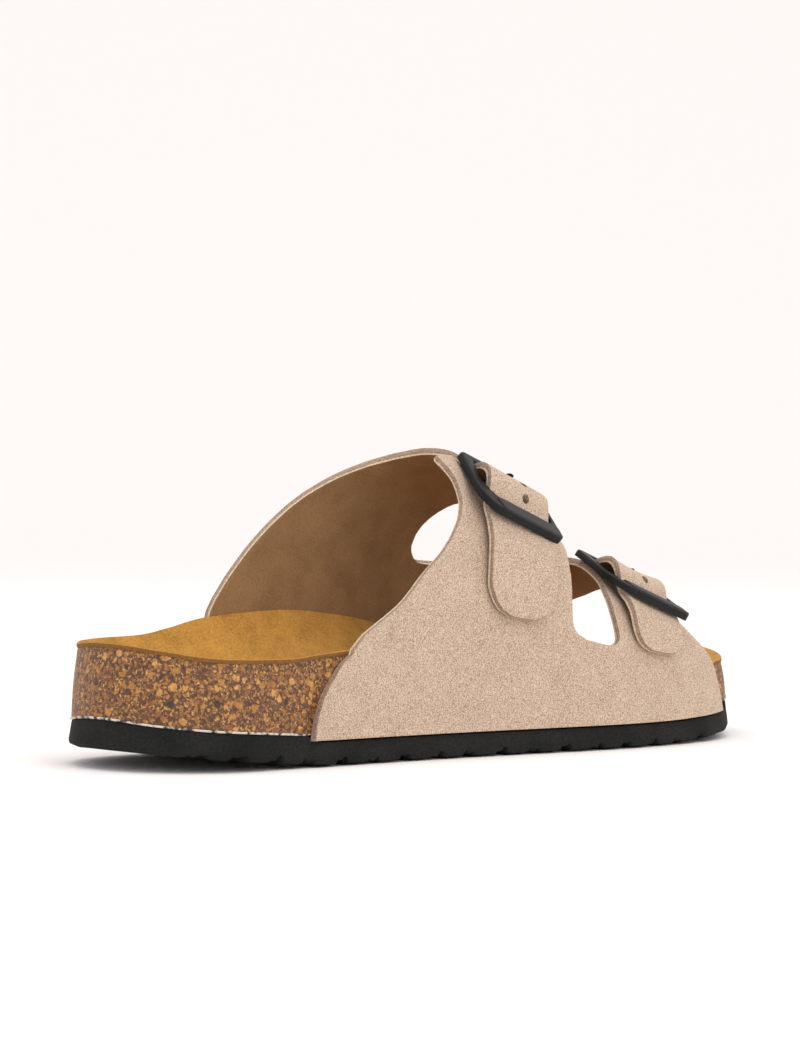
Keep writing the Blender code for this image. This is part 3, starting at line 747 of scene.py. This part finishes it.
def swept_cut(edges, column):
    """An outer cut edge, drawn as one sweep over the instep, where its table leaves slight corners."""
    curve = fair_curve(edges, column)

    def value(girth):
        over = ease(SWEPT_FROM, SWEPT_FROM + SWEPT_FADE, girth)
        over *= 1.0 - ease(SWEPT_TO - SWEPT_FADE, SWEPT_TO, girth)
        return sum(curve(girth + SWEPT_REACH * over * k) for k in FIVE_EVEN) / len(FIVE_EVEN)

    return value


def leather_layer(name, edges, notch, offset, thickness, faces, cut, low_cut):
    """A grid laid over the last between the cut edges, its notch opened, thickened and its edges rounded."""
    girths = girth_rows(edges)
    wide = 2 * STRIP_COLUMNS + 1
    bpy.ops.object.select_all(action="DESELECT")
    bpy.ops.mesh.primitive_grid_add(x_subdivisions=wide, y_subdivisions=len(girths) - 1, size=2.0)
    piece = bpy.context.object
    piece.name = piece.data.name = name
    cuts = [swept_cut(edges, 1), fair_curve(edges, 2), fair_curve(edges, 3), swept_cut(edges, 4)]
    spots = []
    for vertex in piece.data.vertices:
        column = round(0.5 * (vertex.co.x + 1.0) * wide)
        row = round(0.5 * (vertex.co.y + 1.0) * (len(girths) - 1))
        girth = girths[row]
        rear, notch_start, notch_end, front = [
            cut_line(girth) + hand_cut(girth, phase) for phase, cut_line in enumerate(cuts)
        ]
        if column <= STRIP_COLUMNS:
            along = blend(rear, notch_start, column / STRIP_COLUMNS)
        else:
            along = blend(notch_end, front, (column - STRIP_COLUMNS - 1) / STRIP_COLUMNS)
        vertex.co = in_row(upper_point(along, girth, offset(along, girth)))
        spots.append((column, row))
    bpy.ops.object.mode_set(mode="EDIT")
    bpy.ops.mesh.select_mode(type="FACE")
    bpy.ops.mesh.select_all(action="DESELECT")
    bpy.ops.object.mode_set(mode="OBJECT")
    for polygon in piece.data.polygons:
        column = min(spots[index][0] for index in polygon.vertices)
        row = min(spots[index][1] for index in polygon.vertices)
        polygon.select = column == STRIP_COLUMNS and notch(0.5 * (girths[row] + girths[row + 1]))
    bpy.ops.object.mode_set(mode="EDIT")
    bpy.ops.mesh.delete(type="FACE")
    bpy.ops.mesh.select_all(action="SELECT")
    bpy.ops.mesh.flip_normals()
    bpy.ops.object.mode_set(mode="OBJECT")
    piece.data.materials.append(faces)
    piece.data.materials.append(cut)
    piece.data.materials.append(low_cut)
    wall = piece.modifiers.new("wall", "SOLIDIFY")
    wall.thickness = thickness * MM
    wall.offset = 1.0
    wall.material_offset_rim = 1
    soft = piece.modifiers.new("edges", "BEVEL")
    soft.width = EDGE_ROUND * MM
    soft.segments = 2
    soft.limit_method = "ANGLE"
    soft.angle_limit = math.radians(EDGE_ANGLE_DEG)
    bpy.ops.object.modifier_apply(modifier="wall")
    bpy.ops.object.modifier_apply(modifier="edges")
    for polygon in piece.data.polygons:
        along = polygon.center.y / MM - ALONG_TO_ROW
        side = 1 if polygon.center.x > 0.0 else -1
        if polygon.material_index == 1 and polygon.center.z / MM < rim_up(along, side):
            polygon.material_index = 2
    bpy.ops.object.shade_smooth_by_angle(angle=math.radians(SMOOTH_DEG))
    return piece


# Sueded leather, buffed on its face: a dense short nap that reads as fine light and dark grain, with
# cloudy patches where it lies over, no gloss and a little sheen. Drawn coarser than the real fibre.
taupe_suede, tree, shader, place = start_finish("buffed_suede_taupe", 0.95, 1.4)
nap = add_node(
    tree, "ShaderNodeTexNoise",
    {"Vector": place, "Scale": 1.0 / (TAUPE_NAP_MM * MM), "Detail": 3.0, "Roughness": 0.7},
)
cloud = add_node(
    tree, "ShaderNodeTexNoise", {"Vector": place, "Scale": 1.0 / (TAUPE_CLOUD_MM * MM), "Detail": 3.0},
)
both = add_node(tree, "ShaderNodeMix", {0: 0.07, 2: nap.outputs["Fac"], 3: cloud.outputs["Fac"]})
share = add_node(tree, "ShaderNodeMapRange", {"Value": both.outputs[0], "From Min": 0.39, "From Max": 0.6})
tint = add_node(
    tree, "ShaderNodeMix", {0: share.outputs[0], 6: linear(TAUPE_DARK), 7: linear(TAUPE_LIGHT)},
    data_type="RGBA",
)
relief = add_node(
    tree, "ShaderNodeBump", {"Height": nap.outputs["Fac"], "Strength": 0.5, "Distance": 0.25 * MM},
)
put_on(tree, shader, tint, relief)
shader.inputs["Sheen Weight"].default_value = 0.3
shader.inputs["Sheen Roughness"].default_value = 0.5
shader.inputs["Sheen Tint"].default_value = linear(TAUPE_SHEEN)

# Knife-cut edge of the suede: loose grey-brown fibre, darker than the face.
suede_cut = cut_finish("cut_suede_edge", 0.98, TAUPE_NAP_MM, CUT_SPREAD, CUT_DARK, CUT_LIGHT, 0.7)

# Lining leather with a smooth fine nap: even tan, matt, a little cloudy.
tan_lining, tree, shader, place = start_finish("tan_lining_leather", 0.85, 1.45)
nap = add_node(
    tree, "ShaderNodeTexNoise", {"Vector": place, "Scale": 1.0 / (LINING_NAP_MM * MM), "Detail": 3.0},
)
cloud = add_node(
    tree, "ShaderNodeTexNoise", {"Vector": place, "Scale": 1.0 / (TAUPE_CLOUD_MM * MM), "Detail": 4.0},
)
both = add_node(tree, "ShaderNodeMix", {0: 0.5, 2: nap.outputs["Fac"], 3: cloud.outputs["Fac"]})
share = add_node(tree, "ShaderNodeMapRange", {"Value": both.outputs[0], "From Min": 0.3, "From Max": 0.7})
tint = add_node(
    tree, "ShaderNodeMix", {0: share.outputs[0], 6: linear(LINING_DARK), 7: linear(LINING_LIGHT)},
    data_type="RGBA",
)
relief = add_node(
    tree, "ShaderNodeBump", {"Height": nap.outputs["Fac"], "Strength": 0.3, "Distance": 0.15 * MM},
)
put_on(tree, shader, tint, relief)

# Raw cut edge of the lining: pale undyed leather.
lining_cut = cut_finish(
    "cut_lining_edge", 0.95, LINING_NAP_MM, CUT_SPREAD, LINING_CUT_DARK, LINING_CUT_LIGHT
)


def tab_skive(girth):
    """How far a tab is thinned where a strap lies on it."""
    return TAB_SKIVE * (1.0 - ease(SKIVE_FROM, SKIVE_TO, girth))


def tab_notch_open(girth):
    return girth < TAB_NOTCH


outer_quarter = [
    leather_layer(
        "outer_quarter_lining", TAB_EDGES, tab_notch_open,
        lambda along, girth: 0.0, LINING, tan_lining, lining_cut, suede_cut,
    ),
    leather_layer(
        "outer_quarter_suede", TAB_EDGES, tab_notch_open,
        lambda along, girth: LINING - tab_skive(girth), LEATHER - LINING,
        taupe_suede, suede_cut, suede_cut,
    ),
]

# Inner quarter with the two straps
# The same bonded suede and lining, lasted over the inner side of the cork. Its two straps pass over
# the foot, lie on the tabs, bulge a little in the buckle's window, and end in free round tails.
STRAP_EDGES = (
    (0.0, 52.0, 153.8, 156.4, 222.0), (0.5, 58.5, 153.8, 156.4, 221.4), (1.0, 66.6, 153.8, 156.4, 221.0),
    (1.07, 73.0, 153.8, 156.4, 221.0), (1.19, 86.0, 153.8, 156.4, 221.2),
    (1.365, 102.6, 153.8, 156.4, 221.4), (1.38, 104.0, 152.2, 158.4, 221.4),
    (1.41, 106.4, 151.2, 161.4, 221.4), (1.46, 110.2, 151.1, 165.6, 221.4),
    (1.53, 115.0, 151.5, 170.0, 221.4), (1.64, 121.6, 152.8, 175.0, 221.0),
    (1.8, 127.8, 154.0, 179.6, 219.6), (2.0, 130.4, 154.8, 182.0, 212.6),
    (2.15, 129.4, 154.4, 180.4, 205.8), (2.3, 127.6, 151.0, 177.6, 201.2),
    (2.4, 126.0, 148.6, 175.8, 198.8), (2.5, 124.0, 146.5, 174.8, 197.4),
    (2.58, 121.4, 145.1, 174.4, 196.6), (2.7, 119.8, 144.2, 174.0, 196.2),
    (2.8, 118.0, 142.4, 174.0, 195.8), (2.84, 117.6, 141.0, 174.4, 195.2),
    (2.88, 119.0, 138.6, 175.6, 193.6), (2.9, 120.8, 136.4, 177.4, 191.6),
    (2.915, 124.2, 132.4, 180.4, 188.6),
)
STRAP_NOTCH = 1.365
STEP_UP = ((1.84, 0.0), (2.22, 0.9), (2.33, 0.9), (2.45, 2.0))
STRAP_TOP = 2.0 * LEATHER - TAB_SKIVE
STRAP_HALF = 12.5
STRAPS_PART = 162.0
STRAP_BULGE = 5.4
BULGE_FROM = 0.13
BULGE_TO = 0.93
BULGE_LEAN = 0.82
TAIL_LIFT = (
    (-0.125, 0.0), (-0.065, 0.9), (-0.005, 1.9), (0.055, 2.0), (0.135, 1.4), (0.225, 0.95), (0.29, 1.0),
)
BUCKLE_SEATS = (("instep", 139.6, 2.274, 133.2, 2.625), ("front", 190.2, 2.28, 185.1, 2.68))
BUCKLE_LENGTH = 35.0
BUCKLE_WINDOW = 29.4
FAR_BAR = 3.0
WINDOW_RUN = 15.9
OUTER_BAR = 6.4
BUCKLE_RUN = FAR_BAR + WINDOW_RUN + OUTER_BAR
HOLE_RADIUS = 1.35
HOLE_SIDES = 28
PUNCH_LENGTH = 7.0
PUNCH_OVER = 1.5
FEEL_ALONG = 1.0
FEEL_GIRTH = 0.01
HOLE_PLACES = ((139.2, 2.432), (137.5, 2.498), (189.0, 2.4), (188.0, 2.5))


def seat_place(seat, along_bar, down):
    """Place along the foot and girth on the strap, down from the far edge of its buckle."""
    _, far_along, far_girth, near_along, near_girth = seat
    share = down / BUCKLE_RUN
    return blend(far_along, near_along, share) + along_bar, blend(far_girth, near_girth, share)


step_up = fair_curve(STEP_UP, 1)
tail_lift = fair_curve(TAIL_LIFT, 1)


def strap_inside(along, girth):
    """Offset of a strap's lining side: a step onto the tab, a bulge in the window, a lifted tail."""
    _, _, far_girth, _, near_girth = BUCKLE_SEATS[0] if along < STRAPS_PART else BUCKLE_SEATS[1]
    share = (girth - far_girth) / (near_girth - far_girth)
    bulge = math.sin(math.pi * clamp01((share - BULGE_FROM) / (BULGE_TO - BULGE_FROM)) ** BULGE_LEAN) ** 2
    return step_up(girth) + STRAP_BULGE * bulge + tail_lift(girth - near_girth)


def strap_notch_open(girth):
    return girth > STRAP_NOTCH


inner_quarter = [
    leather_layer(
        "strap_lining", STRAP_EDGES, strap_notch_open,
        strap_inside, LINING, tan_lining, lining_cut, suede_cut,
    ),
    leather_layer(
        "strap_suede", STRAP_EDGES, strap_notch_open,
        lambda along, girth: LINING + strap_inside(along, girth), LEATHER - LINING,
        taupe_suede, suede_cut, suede_cut,
    ),
]

# The punch leaves a round hole right through both layers.
for along, girth in HOLE_PLACES:
    offset = strap_inside(along, girth)
    low = in_row(upper_point(along, girth, offset - PUNCH_OVER))
    high = in_row(upper_point(along, girth, offset + LEATHER + PUNCH_OVER))
    before = in_row(upper_point(along - FEEL_ALONG, girth, offset))
    after = in_row(upper_point(along + FEEL_ALONG, girth, offset))
    above = in_row(upper_point(along, girth - FEEL_GIRTH, offset))
    below = in_row(upper_point(along, girth + FEEL_GIRTH, offset))
    run = [after[i] - before[i] for i in range(3)]
    fall = [below[i] - above[i] for i in range(3)]
    normal = (
        run[1] * fall[2] - run[2] * fall[1],
        run[2] * fall[0] - run[0] * fall[2],
        run[0] * fall[1] - run[1] * fall[0],
    )
    lean = math.acos(normal[2] / math.sqrt(sum(part**2 for part in normal)))
    heading = math.atan2(normal[1], normal[0])
    bpy.ops.object.select_all(action="DESELECT")
    bpy.ops.mesh.primitive_cylinder_add(
        vertices=HOLE_SIDES, radius=HOLE_RADIUS * MM, depth=PUNCH_LENGTH * MM,
        location=[0.5 * (low[i] + high[i]) for i in range(3)], rotation=(0.0, lean, heading),
    )
    punch = bpy.context.object
    punch.data.materials.append(suede_cut)
    for layer in inner_quarter:
        bpy.context.view_layer.objects.active = layer
        hole = layer.modifiers.new("hole", "BOOLEAN")
        hole.object = punch
        hole.operation = "DIFFERENCE"
        hole.solver = "EXACT"
        hole.material_mode = "TRANSFER"
        bpy.ops.object.modifier_apply(modifier="hole")
    bpy.data.objects.remove(punch, do_unlink=True)

for layer in outer_quarter + inner_quarter:
    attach(layer, "root")
    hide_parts("upper")

# Buckles
# Injection-moulded black frames over the straps: a thin far bar, two side bars and a wide flat bar on
# the outer side, with rounded edges and a raised plain plate on the wide bar.
BUCKLE_HEIGHT = 2.2
REAR_BAR = 4.2
SETTLE_IN = 0.8
SETTLE_DOWN = 1.0
SETTLE_BACK = 0.8
SETTLE_DEG = 5.5
SKEW_DEG = 3.5
FRONT_TRIM = 1.2
SLOT_TRIM = 0.3
FRAME_CORNERS = (2.6, 8.5, 2.0, 2.0)
WINDOW_CORNERS = (3.0, 7.0, 1.4, 1.4)
CORNER_STEPS = 10
BAR_STEPS = 6
BAR_ROUND = 0.7
PLATE_FROM = -10.4
PLATE_TO = 15.8
PLATE_MARGIN = 0.35
PLATE_RISE = 0.5
PLATE_BEVEL = 0.25
PLATE_TAPER = 0.3
PLATE_SLANT = 0.9
NYLON_BLACK = "#09090A"
NYLON_GREY = "#101113"
NYLON_GRAIN_MM = 0.8
BLAST_BLACK = "#222223"
BLAST_GREY = "#303031"
BLAST_GRAIN_MM = 0.45


def turned(first, second, degrees):
    """Two ways at right angles, turned in their plane from the first towards the second."""
    turn = math.radians(degrees)
    cos, sin = math.cos(turn), math.sin(turn)
    return first * cos + second * sin, second * cos - first * sin


def buckle_axes(seat):
    """Middle of the flat frame laid on its strap, and its ways ahead, down the strap and outwards."""

    def on_wall(along_bar, down, offset):
        return Vector(upper_point(*seat_place(seat, along_bar, down), offset))

    far = on_wall(0.0, 0.0, STRAP_TOP)
    near = on_wall(0.0, BUCKLE_RUN, STRAP_TOP)
    down = (near - far).normalized()
    ahead = Vector()
    for end in (0.0, BUCKLE_RUN):
        ahead += on_wall(STRAP_HALF, end, STRAP_TOP) - on_wall(-STRAP_HALF, end, STRAP_TOP)
    ahead = (ahead - down * ahead.dot(down)).normalized()
    out = down.cross(ahead)
    middle = 0.5 * (far + near)
    touching = []
    for way in FIVE_EVEN:
        for bar_edge in (0.0, FAR_BAR, BUCKLE_RUN - OUTER_BAR, BUCKLE_RUN):
            touching.append(on_wall(STRAP_HALF * way, bar_edge, STRAP_TOP))
    rise = max((point - middle).dot(out) for point in touching)
    middle += out * (rise + FIT - SETTLE_IN) + down * SETTLE_DOWN - ahead * SETTLE_BACK
    ahead, down = turned(ahead, down, SKEW_DEG)
    down, out = turned(down, out, SETTLE_DEG)
    return middle, ahead, down, out


def rounded_box(low, high, radii):
    """Ring of a rectangle with round corners: near front, near rear, far rear, far front."""
    arcs = []
    for quarter, radius in enumerate(radii):
        right, near = quarter in (0, 3), quarter in (0, 1)
        centre_x = high[0] - radius if right else low[0] + radius
        centre_y = high[1] - radius if near else low[1] + radius
        angles = [math.radians(90.0 * (quarter + i / CORNER_STEPS)) for i in range(CORNER_STEPS + 1)]
        arcs.append([(centre_x + radius * math.cos(a), centre_y + radius * math.sin(a)) for a in angles])
    ring = []
    for arc, after in zip(arcs, arcs[1:] + arcs[:1]):
        ring += arc
        (x0, y0), (x1, y1) = arc[-1], after[0]
        ring += [(blend(x0, x1, i / BAR_STEPS), blend(y0, y1, i / BAR_STEPS)) for i in range(1, BAR_STEPS)]
    return ring


def bar_section():
    """Section of a moulded bar: share of its width, millimetres from that side, and height."""
    section = [(0.0, 0.0, 0.0)]
    for side, angles in ((0.0, (0, 30, 60, 90)), (1.0, (90, 60, 30, 0))):
        for angle in angles:
            in_from = BAR_ROUND * (1.0 - math.cos(math.radians(angle)))
            down_from = BAR_ROUND * (1.0 - math.sin(math.radians(angle)))
            section.append((side, in_from, BUCKLE_HEIGHT - down_from))
    section.append((1.0, 0.0, 0.0))
    return section


# Moulded nylon from a finely blasted tool: satin black with a broad soft highlight and a faint grain.
black_nylon, tree, shader, place = start_finish("moulded_nylon_black", 0.42, 1.52)
shader.inputs["Specular IOR Level"].default_value = 0.22
grain = add_node(
    tree, "ShaderNodeTexNoise", {"Vector": place, "Scale": 1.0 / (NYLON_GRAIN_MM * MM), "Detail": 3.0},
)
tint = add_node(
    tree, "ShaderNodeMix", {0: grain.outputs["Fac"], 6: linear(NYLON_BLACK), 7: linear(NYLON_GREY)},
    data_type="RGBA",
)
gloss = add_node(
    tree, "ShaderNodeMapRange", {"Value": grain.outputs["Fac"], "To Min": 0.36, "To Max": 0.52},
)
relief = add_node(
    tree, "ShaderNodeBump", {"Height": grain.outputs["Fac"], "Strength": 0.12, "Distance": 0.08 * MM},
)
put_on(tree, shader, tint, relief)
tree.links.new(gloss.outputs[0], shader.inputs["Roughness"])

# The plate's face comes from a part of the tool that was blasted coarser, so it scatters light and
# looks greyer.
blasted_nylon, tree, shader, place = start_finish("moulded_nylon_blasted", 0.62, 1.5)
shader.inputs["Specular IOR Level"].default_value = 0.4
grain = add_node(
    tree, "ShaderNodeTexNoise", {"Vector": place, "Scale": 1.0 / (BLAST_GRAIN_MM * MM), "Detail": 3.0},
)
tint = add_node(
    tree, "ShaderNodeMix", {0: grain.outputs["Fac"], 6: linear(BLAST_BLACK), 7: linear(BLAST_GREY)},
    data_type="RGBA",
)
relief = add_node(
    tree, "ShaderNodeBump", {"Height": grain.outputs["Fac"], "Strength": 0.25, "Distance": 0.08 * MM},
)
put_on(tree, shader, tint, relief)

section = bar_section()
for seat in BUCKLE_SEATS:
    middle, ahead, down, out = buckle_axes(seat)
    half = 0.5 * BUCKLE_LENGTH
    slot = 0.5 * BUCKLE_WINDOW
    end = 0.5 * BUCKLE_RUN
    rear_slot = half - REAR_BAR
    frame_outer = rounded_box((-half, -end), (half - FRONT_TRIM, end), FRAME_CORNERS)
    window_high = (slot - SLOT_TRIM, end - OUTER_BAR)
    frame_inner = rounded_box((-rear_slot, FAR_BAR - end), window_high, WINDOW_CORNERS)

    def frame_point(run, turn):
        side, in_from, height = section[turn]
        outside, inside = frame_outer[run], frame_inner[run]
        width = math.dist(outside, inside)
        share = in_from / width if side == 0.0 else 1.0 - in_from / width
        x, y = [blend(outside[i], inside[i], share) for i in range(2)]
        return middle + ahead * x + down * y + out * height

    buckle = ring_piece("frame_" + seat[0], len(frame_outer), len(section), frame_point)
    buckle.data.materials.append(black_nylon)

    bpy.ops.object.select_all(action="DESELECT")
    bpy.ops.mesh.primitive_cube_add(size=2.0)
    plate = bpy.context.object
    plate.data.materials.append(blasted_nylon)
    bevel = plate.modifiers.new("edges", "BEVEL")
    bevel.width = PLATE_BEVEL
    bevel.segments = 3
    bpy.ops.object.modifier_apply(modifier="edges")
    for vertex in plate.data.vertices:
        x, y, z = vertex.co
        draw_in = PLATE_TAPER * max(0.0, z)
        across = end - 0.5 * OUTER_BAR + y * (0.5 * OUTER_BAR - PLATE_MARGIN - draw_in)
        run = blend(PLATE_FROM + PLATE_SLANT * y + draw_in, PLATE_TO - draw_in, 0.5 * (x + 1.0))
        vertex.co = in_row(middle + ahead * run + down * across + out * (BUCKLE_HEIGHT + PLATE_RISE * z))
    face_outwards(plate)
    plate.select_set(True)
    buckle.select_set(True)
    bpy.context.view_layer.objects.active = buckle
    bpy.ops.object.join()
    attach(buckle, "root")
    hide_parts("buckle_" + seat[0])

# Pins
# The buckle's tongue, moulded of the same black nylon. It hangs on the far bar, and its blunt tip comes
# up through a strap hole.
PIN_WIDTH = 2.4
PIN_HEIGHT = 1.7
PIN_LENGTH = 4.2
PIN_FROM_BAR = 1.6
PIN_AROUND = 12
PIN_STEPS = 10
PIN_BLUNT_FROM = 0.7
PIN_TIP_LEAST = 0.05

for seat in BUCKLE_SEATS:
    pin_rows = []
    for i in range(PIN_STEPS + 1):
        t = i / PIN_STEPS
        tip = max(0.0, (t - PIN_BLUNT_FROM) / (1.0 - PIN_BLUNT_FROM))
        blunt = math.sqrt(max(PIN_TIP_LEAST, 1.0 - tip**2))
        down = FAR_BAR + PIN_FROM_BAR + PIN_LENGTH * t
        along_middle, girth_middle = seat_place(seat, 0.0, down)
        rest = strap_inside(along_middle, girth_middle) + LEATHER
        row = []
        for j in range(PIN_AROUND):
            angle = 2.0 * math.pi * j / PIN_AROUND
            along, girth = seat_place(seat, 0.5 * PIN_WIDTH * blunt * math.cos(angle), down)
            lift = FIT + 0.5 * PIN_HEIGHT * (1.0 + blunt * math.sin(angle))
            row.append(upper_point(along, girth, rest + lift))
        pin_rows.append(row)
    pin = lofted_piece("tongue_" + seat[0], pin_rows)
    pin.data.materials.append(black_nylon)
    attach(pin, "root")
    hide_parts("pin_" + seat[0])

# Floor and backdrop
# A pale paper sweep: flat under the sandal and curved up far behind it, so that no horizon shows.
PAPER_WIDE = 8.0
PAPER_FLAT = 2.2
PAPER_CURVE = 1.6
PAPER_BEND = 0.5 * math.pi * PAPER_CURVE
PAPER_TALL = 2.4
CAMERA_AZIMUTH = math.radians(48.0)
PAPER_WHITE = "#FDF9F9"

bpy.ops.object.select_all(action="DESELECT")
bpy.ops.mesh.primitive_grid_add(x_subdivisions=2, y_subdivisions=60, size=2.0)
sweep = bpy.context.object
sweep.name = sweep.data.name = "paper_sweep"
for vertex in sweep.data.vertices:
    wide = 0.5 * PAPER_WIDE * vertex.co.x
    run = 0.5 * (vertex.co.y + 1.0) * (2.0 * PAPER_FLAT + PAPER_BEND + PAPER_TALL)
    if run <= 2.0 * PAPER_FLAT:
        back, up = run - PAPER_FLAT, 0.0
    elif run <= 2.0 * PAPER_FLAT + PAPER_BEND:
        angle = (run - 2.0 * PAPER_FLAT) / PAPER_CURVE
        back, up = PAPER_FLAT + PAPER_CURVE * math.sin(angle), PAPER_CURVE * (1.0 - math.cos(angle))
    else:
        back, up = PAPER_FLAT + PAPER_CURVE, PAPER_CURVE + run - 2.0 * PAPER_FLAT - PAPER_BEND
    vertex.co = (
        wide * math.cos(CAMERA_AZIMUTH) - back * math.sin(CAMERA_AZIMUTH),
        wide * math.sin(CAMERA_AZIMUTH) + back * math.cos(CAMERA_AZIMUTH),
        up,
    )
bpy.ops.object.shade_smooth()
matt_paper, _, shader, _ = start_finish("matt_paper", 0.95)
shader.inputs["Base Color"].default_value = linear(PAPER_WHITE)
shader.inputs["Specular IOR Level"].default_value = 0.1
sweep.data.materials.append(matt_paper)

# Light
# A bright white room with a large soft light overhead and a weaker one from the camera's right.
ROOM_WHITE = "#FFFDFA"
ROOM_STRENGTH = 1.0
LAMPS = (("overhead", (0.25, -0.1, 1.5), 1.4, 7.0), ("right_front", (1.3, -0.15, 0.9), 0.9, 3.0))

world = bpy.data.worlds.new("white_room")
bpy.context.scene.world = world
world.use_nodes = True
world.node_tree.nodes["Background"].inputs["Color"].default_value = linear(ROOM_WHITE)
world.node_tree.nodes["Background"].inputs["Strength"].default_value = ROOM_STRENGTH
for name, spot, size, power in LAMPS:
    bpy.ops.object.light_add(type="AREA", location=spot)
    lamp = bpy.context.object
    lamp.name = name
    lamp.data.size = size
    lamp.data.energy = power
    lean = math.atan2(math.hypot(spot[0], spot[1]), spot[2])
    lamp.rotation_euler = (0.0, lean, math.atan2(spot[1], spot[0]))

# Camera
# A long lens at the height of the straps, behind the heel on the outer side, turned to take in the shoe.
CAMERA_PLACE = (0.6798, -0.6867, 0.081)
CAMERA_LENS = 109.0
CAMERA_SENSOR = 36.0
CAMERA_CLIP = 0.01
CAMERA_PAN_DEG = 2.75
CAMERA_PITCH_DEG = -0.7
CAMERA_ROLL_DEG = 0.5

bpy.ops.object.camera_add(location=CAMERA_PLACE)
camera = bpy.context.object
camera.data.lens = CAMERA_LENS
camera.data.sensor_width = CAMERA_SENSOR
camera.data.clip_start = CAMERA_CLIP
camera.rotation_mode = "XYZ"
camera.rotation_euler = (
    math.radians(90.0 + CAMERA_PITCH_DEG),
    math.radians(-CAMERA_ROLL_DEG),
    CAMERA_AZIMUTH - math.radians(CAMERA_PAN_DEG),
)
bpy.context.scene.camera = camera
bpy.context.scene.view_settings.view_transform = "Standard"
